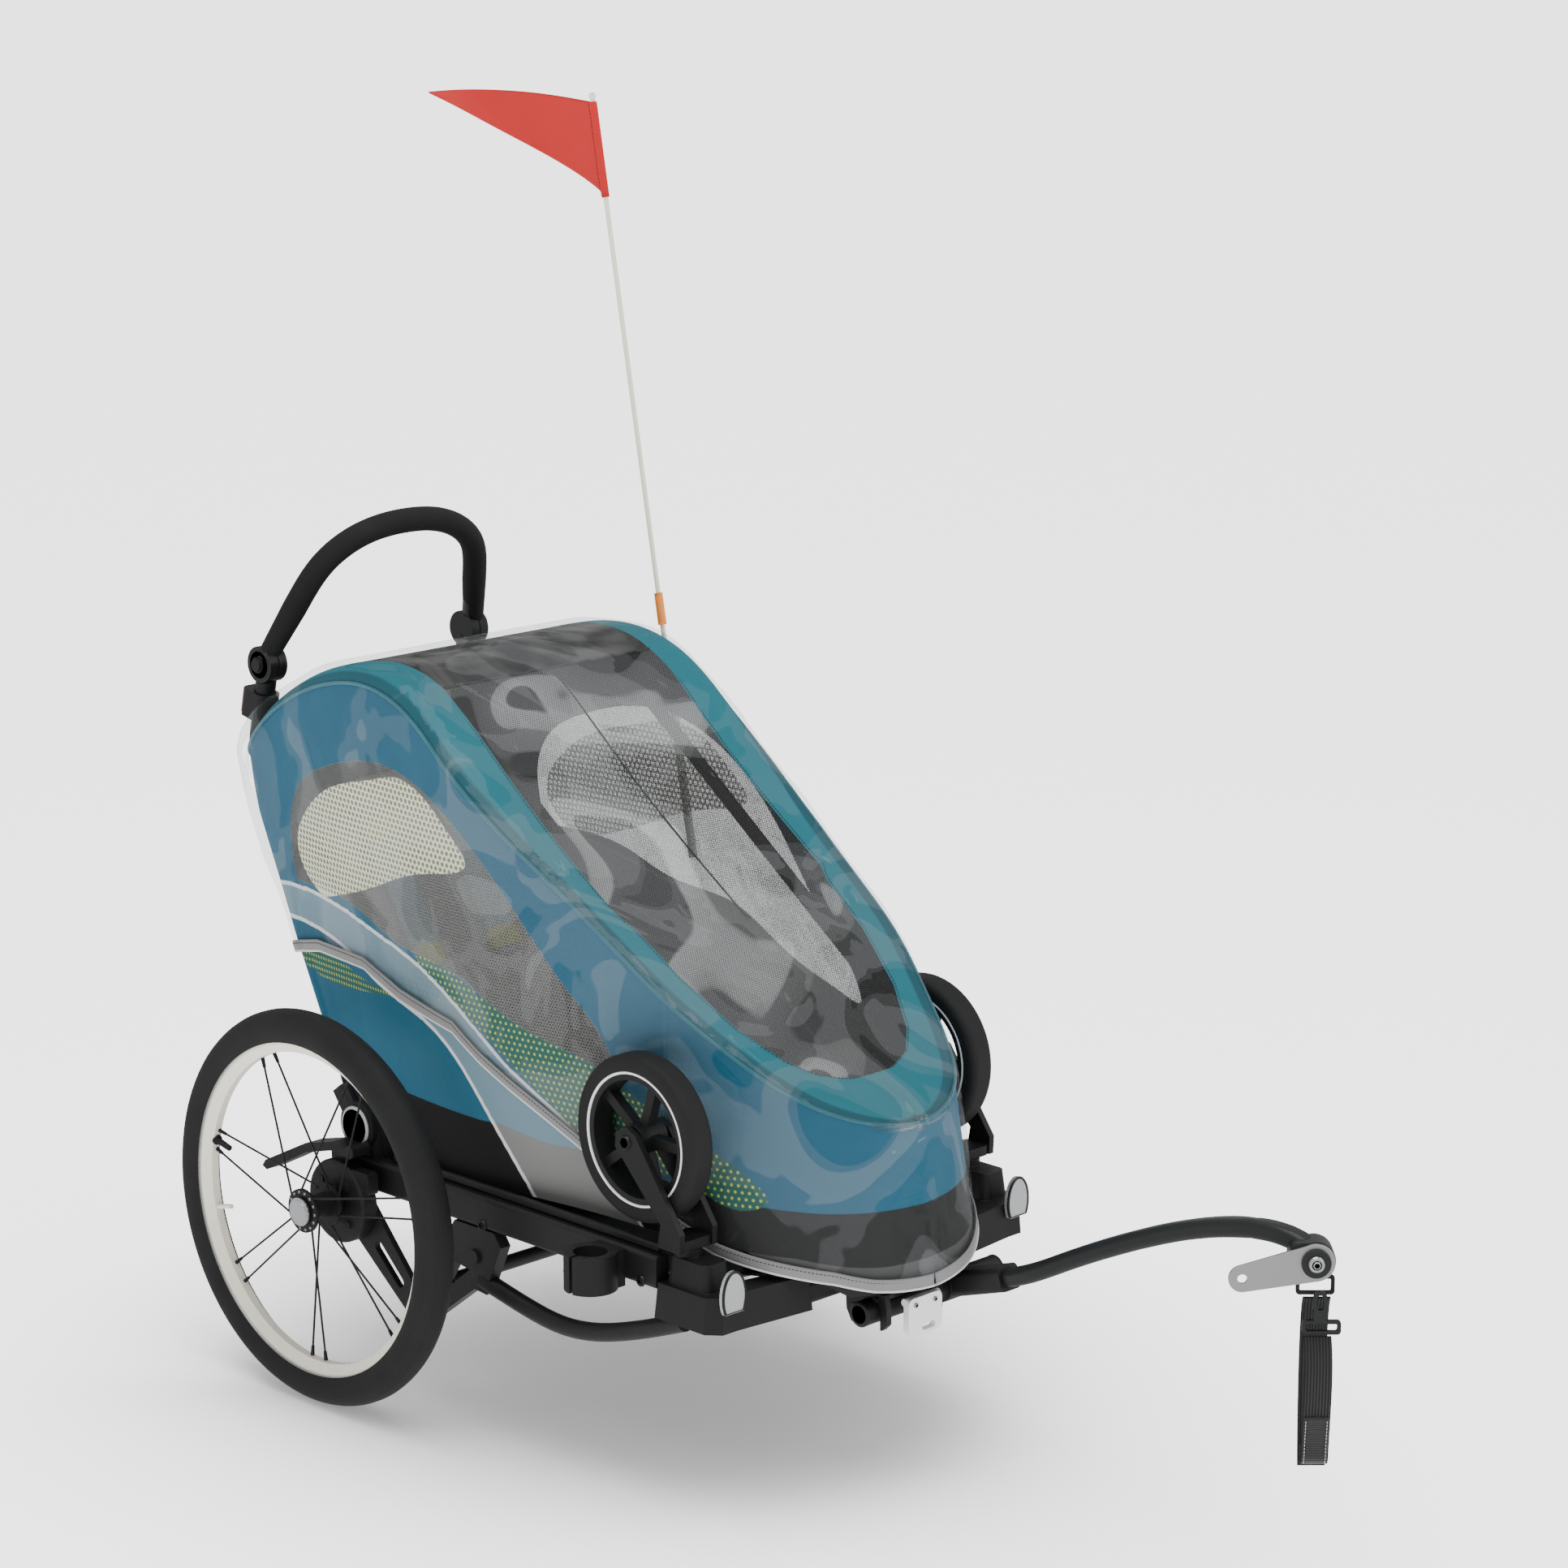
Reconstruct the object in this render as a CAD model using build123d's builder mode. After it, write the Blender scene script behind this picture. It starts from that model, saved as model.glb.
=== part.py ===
from build123d import *
import os
from math import cos, radians, sin

# Child bicycle trailer. Millimetres, +X forward to the towing arm, +Y left, +Z up.
# X is laid out from the rear axle and moved by axle_x when a piece is saved.
axle_x = -398.8

# rear wheels
wheel_r = 244.0
tyre_r = 23.0
wheel_y = 323.0
rim_outer_r = 211.0
rim_inner_r = 192.0
rim_w = 26.0
valve_turn = 167.0
spoke_count = 14
spoke_r = 1.3
flange_r = 27.0
hub_r = 15.0
hub_half = 23.0
hub_y = 321.0
cap_r = 17.5
cap_len = 4.0
axle_bore_r = 6.5

# frame
rail_y = 248.0
rail_w = 20.0
rail_h = 40.0
rail_z = 277.0
rail_rear_x = -45.0
rail_front_x = 530.0
beam_r = 14.0
beam_z = 240.0
beam_x = -20.0
lower_tube_r = 11.0
corner_front_x = 612.0
corner_rear_x = 531.0
corner_low_z = 226.0
bar_plate_z = 268.2
corner_top_z = 300.0
corner_in_y = 205.0
corner_out_y = 262.0
stem_x = 553.0
stem_y = 231.0
stem_r = 10.0
socket_r = 17.0
socket_top_z = 309.0
clear = 0.5

# suspension
arm_pivot_x = 121.0
arm_pivot_z = 132.0
arm_in_y = 259.0
arm_t = 8.0
drum_r = 52.0
drum_in_y = 268.2
drum_out_y = 290.0

# stroller wheels stored over the front corners
caster_x = 484.0
caster_z = 422.0
caster_r = 98.0
caster_tyre_w = 36.0
caster_rim_r = 77.0
fork_leg_t = 8.0
fork_gap = 21.5
caster_spokes = 5

# push frame and handlebar
leg_r = 13.0
leg_foot_x = -20.0
leg_foot_z = 285.0
leg_foot_y = 176.0
leg_bend_x = -288.0
leg_bend_z = 735.0
handle_x = -263.0
handle_z = 850.5
handle_y = 163.5
handle_knob_r = 23.0
handle_tube_r = 12.0
grip_r = 15.0
handle_top_x = -188.0
handle_top_z = 1019.0
button_r = 10.0
button_len = 6.0

# roll bar
bar_r = 8.0
bar_y = 138.0
bar_foot_x = 580.0
bar_foot_z = 292.0

# cabin
wall_t = 4.0
deck_drop = 6.0
nose_split_x = 575.0
wall_low_z = 301.0
nose_low_z = 246.0
mid_z = 480.0
floor_z = 268.0

# towing arm
tow_tilt = 18.0
hitch_x = 1180.0
hitch_y = 104.0
hitch_z = 368.0
hole_reach = 79.0
hole_drop = 18.0
hitch_plate_t = 4.0
strap_w = 30.0
strap_t = 2.4
strap_len = 187.0
hitch_hole_r = 5.25
bolt_r = 6.0
lever_x = 680.0
tube_x = 650.0
tube_z = 206.0
tube_r = 15.0
tow_y = 100.0

# flag
pole_r = 3.0
pole_y = 238.0
pole_low_x = 75.0
pole_low_z = 600.0
pole_top_x = -98.0
pole_top_z = 1533.0
flag_len = 318.0
flag_h = 119.0
flag_t = 1.2

sides = ((-1, "right"), (1, "left"))
pieces = {}


def save(builder, label):
    pieces[label] = Pos(axle_x, 0, 0) * builder.part


def cross_plane(x, y, z, out):
    return Plane(origin=(x, y, z), x_dir=(1, 0, 0), z_dir=(0, out, 0))


def side_plane(y):
    return Plane(origin=(0, y, 0), x_dir=(1, 0, 0), z_dir=(0, -1, 0))


def disc(x, y, z, out, radius, length, mode=Mode.ADD):
    with Locations(cross_plane(x, y, z, out)):
        Cylinder(radius, length, align=(Align.CENTER, Align.CENTER, Align.MIN), mode=mode)


def rod(start, end, radius, mode=Mode.ADD):
    run = Vector(*end) - Vector(*start)
    with Locations(Plane(origin=start, z_dir=run)):
        Cylinder(radius, run.length, align=(Align.CENTER, Align.CENTER, Align.MIN), mode=mode)


# ---- rear wheels -------------------------------------------------------------
for side, tag in sides:
    mid = side * wheel_y
    with BuildPart() as tyre:
        with BuildSketch(Plane.XY):
            with Locations((wheel_r - tyre_r, 0)):
                Circle(tyre_r)
            with Locations((rim_outer_r - rim_w / 4, 0)):
                Rectangle(rim_w / 2, rim_w + 8, mode=Mode.SUBTRACT)
        revolve(axis=Axis.Y)
    tyre.part = Pos(0, mid, wheel_r) * tyre.part
    save(tyre, f"tyre_{tag}")

    with BuildPart() as rim:
        with BuildSketch(Plane.XY):
            with BuildLine():
                Polyline(
                    (rim_outer_r - 0.3, -rim_w / 2),
                    (rim_outer_r - 0.3, rim_w / 2),
                    (rim_outer_r - 9, rim_w / 2),
                    (rim_inner_r, 5),
                    (rim_inner_r, -5),
                    (rim_outer_r - 9, -rim_w / 2),
                    (rim_outer_r - 0.3, -rim_w / 2),
                )
            make_face()
        revolve(axis=Axis.Y)
        with BuildSketch(Plane.XY):
            with Locations((rim_outer_r - 3, 0)):
                Rectangle(8, rim_w - 6)
        revolve(axis=Axis.Y, mode=Mode.SUBTRACT)
        with BuildSketch(Plane(origin=(rim_inner_r - 26, 0, 0), z_dir=(1, 0, 0))):
            Circle(3)
        extrude(amount=28)
    rim.part = Pos(0, mid, wheel_r) * Rot(0, valve_turn, 0) * rim.part
    save(rim, f"rim_{tag}")

    with BuildPart() as hub:
        disc(0, -hub_half, 0, 1, hub_r, 2 * hub_half)
        disc(0, -hub_half + 3, 0, 1, flange_r, 4)
        disc(0, hub_half - 7, 0, 1, flange_r, 4)
        disc(0, -hub_half - 1, 0, 1, axle_bore_r, 2 * hub_half + 2, Mode.SUBTRACT)

    with BuildPart() as spokes:
        for i in range(spoke_count):
            turn = 360 / spoke_count
            pair = 1 if i % 2 else -1
            flange_angle = radians(turn * i)
            rim_angle = radians(turn * i + pair * turn * 1.35)
            flange_at = hub_half - 5 if pair > 0 else 5 - hub_half
            foot = ((flange_r - 4) * cos(flange_angle), flange_at, (flange_r - 4) * sin(flange_angle))
            head = ((rim_inner_r - 0.4) * cos(rim_angle), 0, (rim_inner_r - 0.4) * sin(rim_angle))
            rod(foot, head, spoke_r)
        add(hub.part, mode=Mode.SUBTRACT)
    spokes.part = Pos(0, side * hub_y, wheel_r) * spokes.part
    save(spokes, f"spokes_{tag}")
    hub.part = Pos(0, side * hub_y, wheel_r) * hub.part
    save(hub, f"hub_{tag}")

    # quick-release button, its axle stub and cap
    with BuildPart() as axle_cap:
        disc(0, side * (drum_out_y + 6.5), wheel_r, side, axle_bore_r - 0.4, hub_y + hub_half - drum_out_y - 6)
        disc(0, side * (hub_y + hub_half + 0.4), wheel_r, side, cap_r, cap_len - 1.5)
        disc(0, side * (hub_y + hub_half + cap_len - 1.1), wheel_r, side, cap_r - 3, 1.5)
    save(axle_cap, f"axle_cap_{tag}")

# ---- main frame -----------------------------------------------------------------
with BuildPart() as side_rails:
    for side, tag in sides:
        with BuildSketch(Plane.YZ.offset(rail_rear_x)):
            with Locations((side * rail_y, rail_z)):
                RectangleRounded(rail_w, rail_h, 6)
        extrude(amount=rail_front_x - rail_rear_x)
    with BuildSketch(side_plane(rail_y - rail_w / 2)):
        with Locations((beam_x, beam_z + 18)):
            RectangleRounded(44, 20, 5)
    extrude(amount=2 * rail_y - rail_w)
    # feet that carry the push frame hinge
    for side, tag in sides:
        for gap in (-1, 1):
            ear_y = side * leg_foot_y + gap * (leg_r + 1 + 3) - 3
            with BuildSketch(side_plane(ear_y + 6)):
                with BuildLine():
                    Polyline((-41, 266), (1, 266), (-3, 291), (-11, 302), (-29, 302), (-37, 291), (-41, 266))
                make_face()
            extrude(amount=6)
        pin_y = side * leg_foot_y
        disc(leg_foot_x, pin_y - leg_r - 5, leg_foot_z, 1, 4, 2 * leg_r + 10)
save(side_rails, "side_rails")

with BuildPart() as fabric_tracks:
    for side, tag in sides:
        with BuildSketch(Plane.YZ.offset(60)):
            with Locations((side * (rail_y - 5), rail_z + rail_h / 2 + 5)):
                RectangleRounded(8, 10, 3)
        extrude(amount=rail_front_x - 8 - 60)
save(fabric_tracks, "fabric_tracks")

with BuildPart() as lower_tubes:
    for side, tag in sides:
        with BuildLine() as low_line:
            Spline((222, side * rail_y, 190), (294, side * rail_y, 176), (365, side * rail_y, 169),
                   (470, side * rail_y, 190), (566, side * rail_y, 226))
        with BuildSketch(Plane(origin=low_line.line @ 0, z_dir=low_line.line % 0)):
            Circle(lower_tube_r)
        sweep(path=low_line.line)
save(lower_tubes, "lower_tubes")

with BuildPart() as front_crossbar:
    # corner casting with its fork socket, mirrored to the other side
    with BuildSketch(Plane.XY.offset(corner_low_z)):
        with BuildLine():
            Polyline(
                (corner_rear_x, corner_out_y),
                (corner_rear_x, corner_in_y),
                (590, corner_in_y),
                (606, 118),
                (640, 118),
                (corner_front_x + 16, 226),
                (corner_front_x + 16, corner_out_y - 14),
                (corner_front_x, corner_out_y),
                (corner_rear_x, corner_out_y),
            )
        make_face()
    extrude(amount=42, taper=4)
    with BuildSketch(Plane.XY.offset(corner_low_z + 20)):
        with Locations((stem_x + 18, stem_y)):
            RectangleRounded(76, 50, 16)
    extrude(amount=corner_top_z - corner_low_z - 20, taper=8)
    with BuildSketch(Plane.XY.offset(corner_top_z - 30)):
        with Locations((stem_x, stem_y)):
            Circle(socket_r)
    extrude(amount=socket_top_z - corner_top_z + 30)
    with BuildSketch(Plane.XY.offset(corner_low_z + 14)):
        with Locations((stem_x, stem_y)):
            Circle(stem_r + clear)
    extrude(amount=socket_top_z - corner_low_z - 10, mode=Mode.SUBTRACT)
    mirror(about=Plane.XZ)
    with BuildSketch(side_plane(121)):
        with Locations((622, 245)):
            RectangleRounded(28, 30, 8)
    extrude(amount=242)
    add(lower_tubes.part, mode=Mode.SUBTRACT)
save(front_crossbar, "front_crossbar")

with BuildPart() as axle_brackets:
    for side, tag in sides:
        with BuildSketch(side_plane(side * rail_y + 8)):
            with BuildLine():
                Polyline((250, 256), (180, 256), (108, 150), (104, 126), (118, 116), (140, 122),
                         (214, 178), (236, 176), (242, 196), (262, 240), (250, 256))
            make_face()
            with BuildLine():
                Polyline((206, 200), (146, 152), (178, 204), (206, 200))
            make_face(mode=Mode.SUBTRACT)
        extrude(amount=16)
        disc(216, side * rail_y + side * 7, 219, side, 9, 5)
        disc(arm_pivot_x, side * rail_y, arm_pivot_z, side, 6, 19)
    # cross tube between the two brackets
    rod((150, -rail_y + 8, 168), (150, rail_y - 8, 168), 9)
    add(lower_tubes.part, mode=Mode.SUBTRACT)
save(axle_brackets, "axle_brackets")

with BuildPart() as front_reflectors:
    for side, tag in sides:
        with BuildSketch(Plane(origin=(corner_front_x + 16.2, side * 236, 270), x_dir=(0, 1, 0), z_dir=(1, 0, 0))):
            Ellipse(18, 30)
            with Locations((0, -28)):
                Rectangle(40, 18, mode=Mode.SUBTRACT)
        extrude(amount=6)
save(front_reflectors, "front_reflectors")

with BuildPart() as side_reflectors:
    for side, tag in sides:
        disc(4, side * 250, 333, side, 30, 8)
        disc(4, side * 258, 333, side, 27, 2)
        with BuildSketch(side_plane(side * 250 + 4)):
            Polygon((-14, 297), (22, 297), (14, 320), (-6, 320), align=None)
        extrude(amount=8)
        with BuildSketch(Plane(origin=(-12, side * 250, 346), z_dir=(-0.6, 0, 0.8))):
            RectangleRounded(26, 16, 6)
        extrude(amount=34)
save(side_reflectors, "side_reflectors")

with BuildPart() as accessory_clamp:
    with BuildSketch(Plane.XY.offset(250)):
        with Locations((457, -291)):
            Circle(31)
        with Locations((457, -266)):
            Rectangle(44, 16)
        with Locations((457, -318)):
            Rectangle(5, 26, mode=Mode.SUBTRACT)
    extrude(amount=44)
    for shift in (-12, 12):
        with Locations(Plane(origin=(457 + shift, -311, 272), z_dir=(shift / 12, 0, 0))):
            Cylinder(5, 14)
    with Locations((457, -291, 272)):
        Cylinder(20, 60, mode=Mode.SUBTRACT)
save(accessory_clamp, "accessory_clamp")

# ---- suspension arms, drums and brake pedal ---------------------------------------
for side, tag in sides:
    with BuildPart() as swing_arm:
        with BuildSketch(cross_plane(0, side * (arm_in_y + 0.6), 0, side)):
            with Locations((arm_pivot_x, side * -arm_pivot_z)):
                Circle(17)
            with Locations((0, side * -wheel_r)):
                Circle(30)
            make_hull()
            with Locations((arm_pivot_x, side * -arm_pivot_z)):
                Circle(6.4, mode=Mode.SUBTRACT)
            with Locations((72, side * -176)):
                SlotCenterToCenter(52, 14, rotation=side * 43, mode=Mode.SUBTRACT)
        extrude(amount=arm_t)
    save(swing_arm, f"swing_arm_{tag}")

    with BuildPart() as drum:
        disc(0, side * drum_in_y, wheel_r, side, drum_r, drum_out_y - drum_in_y)
        fillet(drum.edges().sort_by(Axis.Y)[-1 if side > 0 else 0], 5)
        disc(0, side * drum_out_y, wheel_r, side, 14, 6)
        with BuildSketch(side_plane(side * (drum_in_y + drum_out_y) / 2 + 8)):
            with Locations((42, 276)):
                RectangleRounded(34, 28, 6)
        extrude(amount=16)
        for i in range(4):
            a = radians(45 + 90 * i)
            disc(34 * cos(a), side * (drum_out_y - 1), wheel_r + 34 * sin(a), side, 5, 4)
    save(drum, f"brake_drum_{tag}")

with BuildPart() as brake_pedal:
    with BuildSketch(side_plane(-261)):
        with BuildLine():
            Polyline((30, 304), (30, 314), (-8, 317), (-58, 304), (-98, 284), (-136, 265), (-142, 257), (-134, 253),
                     (-92, 274), (-56, 293), (-8, 306), (30, 304))
        make_face()
    extrude(amount=28)
    disc(26, -261, 311, -1, 8, 28)
save(brake_pedal, "brake_pedal")

# ---- stroller wheels and their forks -----------------------------------------------
for side, tag in sides:
    with BuildPart() as fork:
        with BuildSketch(Plane.XY.offset(corner_low_z + 16)):
            with Locations((stem_x, side * stem_y)):
                Circle(stem_r)
        extrude(amount=socket_top_z - corner_low_z - 10)
        with BuildSketch(Plane.XY.offset(socket_top_z + 1)):
            with Locations((stem_x, side * stem_y)):
                RectangleRounded(36, 52, 12)
        extrude(amount=12)
        for flank in (-1, 1):
            leg_mid = side * stem_y + flank * (fork_gap + fork_leg_t / 2)
            with BuildSketch(side_plane(leg_mid + fork_leg_t / 2)):
                with BuildLine():
                    Polyline((535, 310), (571, 310), (572, 332), (500, 432), (484, 440), (468, 432), (466, 414),
                             (476, 404), (540, 338), (535, 310))
                make_face()
            extrude(amount=fork_leg_t)
        disc(caster_x, side * stem_y - fork_gap - 1, caster_z, 1, 5, 2 * fork_gap + 2)
    save(fork, f"caster_fork_{tag}")

    with BuildPart() as caster_tyre:
        with BuildSketch(Plane.XY):
            with Locations((caster_r - 12, 0)):
                RectangleRounded(24, caster_tyre_w, 10)
            with Locations((caster_rim_r - 6, 0)):
                Rectangle(12, caster_tyre_w, mode=Mode.SUBTRACT)
        revolve(axis=Axis.Y)
    caster_tyre.part = Pos(caster_x, side * stem_y, caster_z) * caster_tyre.part
    save(caster_tyre, f"caster_tyre_{tag}")

    with BuildPart() as caster_rim:
        with BuildSketch(Plane.XY):
            with Locations((caster_rim_r - 4.2, 0)):
                Rectangle(8, caster_tyre_w - 6)
            with Locations((12, 0)):
                Rectangle(13, caster_tyre_w + 3)
        revolve(axis=Axis.Y)
        for i in range(caster_spokes):
            turn = Plane.XZ.rotated((0, 360 / caster_spokes * i, 0))
            with BuildSketch(turn.offset(-6.5)):
                with Locations(((caster_rim_r + 8) / 2, 0)):
                    RectangleRounded(caster_rim_r - 20, 12, 3)
            extrude(amount=13)
    caster_rim.part = Pos(caster_x, side * stem_y, caster_z) * caster_rim.part
    save(caster_rim, f"caster_rim_{tag}")

# ---- push frame, handlebar and their catches -----------------------------------------
leg_run = Vector(handle_x - leg_bend_x, 0, handle_z - leg_bend_z).normalized()
leg_top = Vector(handle_x, 0, handle_z) - leg_run * 8
brace = 0.12
brace_x = leg_foot_x + brace * (leg_bend_x - leg_foot_x)
brace_z = leg_foot_z + brace * (leg_bend_z - leg_foot_z)
with BuildPart() as push_frame:
    for side, tag in sides:
        low = (leg_foot_x, side * leg_foot_y, leg_foot_z)
        bend = (leg_bend_x, side * handle_y, leg_bend_z)
        with BuildLine() as leg_line:
            FilletPolyline(low, bend, (leg_top.X, side * handle_y, leg_top.Z), radius=60)
        with BuildSketch(Plane(origin=low, z_dir=leg_line.line % 0)):
            Circle(leg_r)
        sweep(path=leg_line.line)
        disc(leg_foot_x, side * leg_foot_y - 13, leg_foot_z, 1, 15, 26)
        disc(handle_x, side * (handle_y + 1 - 13), handle_z, side, handle_knob_r, 12)
        disc(handle_x, side * (handle_y + 0.8), handle_z, side, handle_knob_r + 1, 20, Mode.SUBTRACT)
        disc(leg_foot_x, side * leg_foot_y - 14, leg_foot_z, 1, 4 + clear, 28, Mode.SUBTRACT)
    rod((brace_x, 2 - leg_foot_y, brace_z), (brace_x, leg_foot_y - 2, brace_z), 9)
save(push_frame, "push_frame")

with BuildPart() as handlebar:
    with BuildLine() as handle_line:
        handle_half = [
            (handle_x, handle_y + 8, handle_z),
            (handle_x + 37, handle_y - 20, handle_z + 80),
            (handle_x + 57, handle_y - 41, handle_z + 124),
            (handle_x + 69, handle_y - 85, handle_z + 155),
            (handle_top_x, 0, handle_top_z),
        ]
        Spline(*[(x, -y, z) for x, y, z in handle_half], *reversed(handle_half[:-1]))
    with BuildSketch(Plane(origin=handle_line.line @ 0, z_dir=handle_line.line % 0)):
        Circle(handle_tube_r)
    sweep(path=handle_line.line)
    for side, tag in sides:
        disc(handle_x, side * (handle_y - 18), handle_z, side, handle_knob_r + 1, 19.4, Mode.SUBTRACT)
        disc(handle_x, side * (handle_y + 1.4), handle_z, side, handle_knob_r, 13)
        disc(handle_x, side * (handle_y + 8), handle_z, side, button_r + clear, 20, Mode.SUBTRACT)
save(handlebar, "handlebar")

with BuildPart() as handle_grip:
    grip_line = handle_line.line.edge().trim(0.12, 0.88)
    with BuildSketch(Plane(origin=grip_line @ 0, z_dir=grip_line % 0)):
        Circle(grip_r)
        Circle(handle_tube_r, mode=Mode.SUBTRACT)
    sweep(path=grip_line)
save(handle_grip, "handle_grip")

catch_at = Vector(leg_bend_x, 0, leg_bend_z) + leg_run * 44
catch_back = Vector(-leg_run.Z, 0, leg_run.X)
for side, tag in sides:
    with BuildPart() as adjuster_button:
        disc(handle_x, side * (handle_y + 12), handle_z, side, button_r, button_len)
        disc(handle_x, side * (handle_y + 12 + button_len), handle_z, side, button_r - 2, 2.5)
    save(adjuster_button, f"adjuster_button_{tag}")

    with BuildPart() as fold_slider:
        slider_plane = Plane(origin=(catch_at.X, side * handle_y, catch_at.Z), x_dir=-catch_back, z_dir=leg_run)
        with BuildSketch(slider_plane):
            with Locations((-6, 0)):
                RectangleRounded(42, 32, 9)
            Circle(leg_r + clear, mode=Mode.SUBTRACT)
        extrude(amount=36)
    save(fold_slider, f"fold_slider_{tag}")

with BuildPart() as roll_bar:
    roll_half = [(bar_foot_x, bar_foot_z), (558, 476), (300, 668), (74, 838), (-42, 862)]
    with BuildLine() as roll_line:
        FilletPolyline(
            *[(x, -bar_y, z) for x, z in roll_half], *[(x, bar_y, z) for x, z in reversed(roll_half)], radius=45
        )
    with BuildSketch(Plane(origin=roll_line.line @ 0, z_dir=roll_line.line % 0)):
        Circle(bar_r)
    sweep(path=roll_line.line)
    for side, tag in sides:
        disc(bar_foot_x, side * bar_y - 9, bar_foot_z, 1, 13, 18)
        disc(bar_foot_x, side * bar_y - 10, bar_foot_z, 1, 4 + clear, 20, Mode.SUBTRACT)
save(roll_bar, "roll_bar")

with BuildPart() as roll_bar_feet:
    for side, tag in sides:
        for gap in (-1, 1):
            ear_y = side * bar_y + gap * 12.5
            with BuildSketch(side_plane(ear_y + 3)):
                with BuildLine():
                    Polyline((562, 273), (604, 273), (598, 296), (588, 306), (572, 306), (566, 296), (562, 273))
                make_face()
            extrude(amount=6)
        disc(bar_foot_x, side * bar_y - 12, bar_foot_z, 1, 4, 24)
        with BuildSketch(Plane.XY.offset(bar_plate_z)):
            with Locations((590, side * bar_y)):
                RectangleRounded(56, 40, 6)
        extrude(amount=6)
save(roll_bar_feet, "roll_bar_feet")

# ---- soft cabin -----------------------------------------------------------------------
nose_low = [(-320, 186), (-200, 200), (-100, 214), (60, 226), (150, 231), (240, 226), (330, 213), (400, 206),
            (470, 204), (540, 199), (597, 186), (645, 150), (676, 115), (699, 70), (712, 0)]
nose_mid = [(-320, 186), (-200, 200), (-100, 213), (60, 226), (150, 231), (240, 226), (330, 213), (400, 204),
            (470, 193), (541, 168), (597, 142), (643, 108), (669, 74), (686, 35), (692, 0)]
roof = [(-309, 728), (-250, 792), (-170, 845), (-72, 881), (5, 888), (75, 869), (160, 807), (302, 698), (458, 592),
        (580, 506), (660, 458), (720, 428)]


def outline(z, half, inset):
    # closed plan outline of the cabin, drawn in from its rear edge round the nose
    trimmed = [(x - inset * (x / 700) ** 4, max(y - inset, 0)) for x, y in half]
    with BuildSketch(Plane.XY.offset(z)) as plan:
        with BuildLine():
            Spline(*[(x, -y) for x, y in trimmed], *reversed(trimmed[:-1]))
            Line(trimmed[0], (trimmed[0][0], -trimmed[0][1]))
        make_face()
    return plan.sketch


def cabin_block(inset, mode=Mode.ADD):
    # everything inside the cabin walls, from the nose hem to above the roof
    low = outline(nose_low_z, nose_low, inset)
    mid = outline(mid_z, nose_mid, inset)
    loft([low.face(), mid.face()], mode=mode)
    extrude(mid, amount=440, mode=mode)


def under_roof(drop, *floor_points):
    # keep what lies under the roof line and over the given lower edge
    with BuildSketch(side_plane(300)) as profile:
        with BuildLine():
            line = Spline(*[(x, z - drop) for x, z in roof])
            Polyline(line @ 1, *floor_points, line @ 0)
        make_face()
    extrude(profile.sketch, amount=600, mode=Mode.INTERSECT)


def leg_notches():
    # room for the two push frame legs where they leave the roof
    for side, tag in sides:
        rod((leg_bend_x - 10, side * handle_y, leg_bend_z - 48), (handle_x + 4, side * handle_y, handle_z + 22), leg_r + 7,
            Mode.SUBTRACT)


low_edge = ((720, wall_low_z), (40, wall_low_z), (-20, 284), (-52, 284))
nose_edge = ((720, nose_low_z + 2), (652, nose_low_z + 2), (641, 271), (560, 286))

for side, tag in sides:
    with BuildPart() as side_panel:
        cabin_block(0)
        cabin_block(wall_t, Mode.SUBTRACT)
        under_roof(deck_drop, *low_edge)
        split(bisect_by=Plane(origin=(nose_split_x, 0, 0), z_dir=(-1, 0, 0)))
        split(bisect_by=Plane(origin=(0, side * 60, 0), z_dir=(0, side, 0)))
        leg_notches()
    save(side_panel, f"side_panel_{tag}")

with BuildPart() as front_panel:
    cabin_block(0)
    cabin_block(wall_t, Mode.SUBTRACT)
    under_roof(deck_drop, *nose_edge)
    split(bisect_by=Plane(origin=(nose_split_x, 0, 0), z_dir=(1, 0, 0)))
save(front_panel, "front_panel")

with BuildPart() as deck:
    cabin_block(0)
    under_roof(0, *low_edge)
    with BuildSketch(side_plane(300)) as below:
        with BuildLine():
            under = Spline(*[(x, z - deck_drop) for x, z in roof])
            Polyline(under @ 1, (760, 100), (-400, 100), (-400, 500), under @ 0)
        make_face()
    extrude(below.sketch, amount=600, mode=Mode.SUBTRACT)
    leg_notches()
save(deck, "deck")

with BuildPart() as rear_panel:
    cabin_block(wall_t)
    with BuildSketch(side_plane(300)) as strip:
        with BuildLine():
            Polyline((-309, 724), (-52, 284), (-48, 284), (-303, 720), (-299, 728), (-309, 724))
        make_face()
    extrude(strip.sketch, amount=600, mode=Mode.INTERSECT)
    add(deck.part, mode=Mode.SUBTRACT)
save(rear_panel, "rear_panel")

with BuildPart() as floor_pan:
    with BuildSketch(Plane.XY.offset(floor_z + 1)):
        with Locations((265, 0)):
            RectangleRounded(510, 2 * (rail_y - rail_w / 2 - 1), 8)
        add(outline(floor_z + 1, nose_low, wall_t + 9))
        with Locations((-178, 0)):
            Rectangle(376, 500, mode=Mode.SUBTRACT)
        with Locations((590, bar_y), (590, -bar_y)):
            Rectangle(62, 46, mode=Mode.SUBTRACT)
    extrude(amount=3)
save(floor_pan, "floor_pan")

with BuildPart() as seat_base:
    with BuildSketch(Plane.XY.offset(floor_z + 4.4)):
        with Locations((200, 0)):
            RectangleRounded(270, 300, 30)
    extrude(amount=38)
    fillet(seat_base.faces().sort_by(Axis.Z)[-1].edges(), 12)
save(seat_base, "seat_base")

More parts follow.
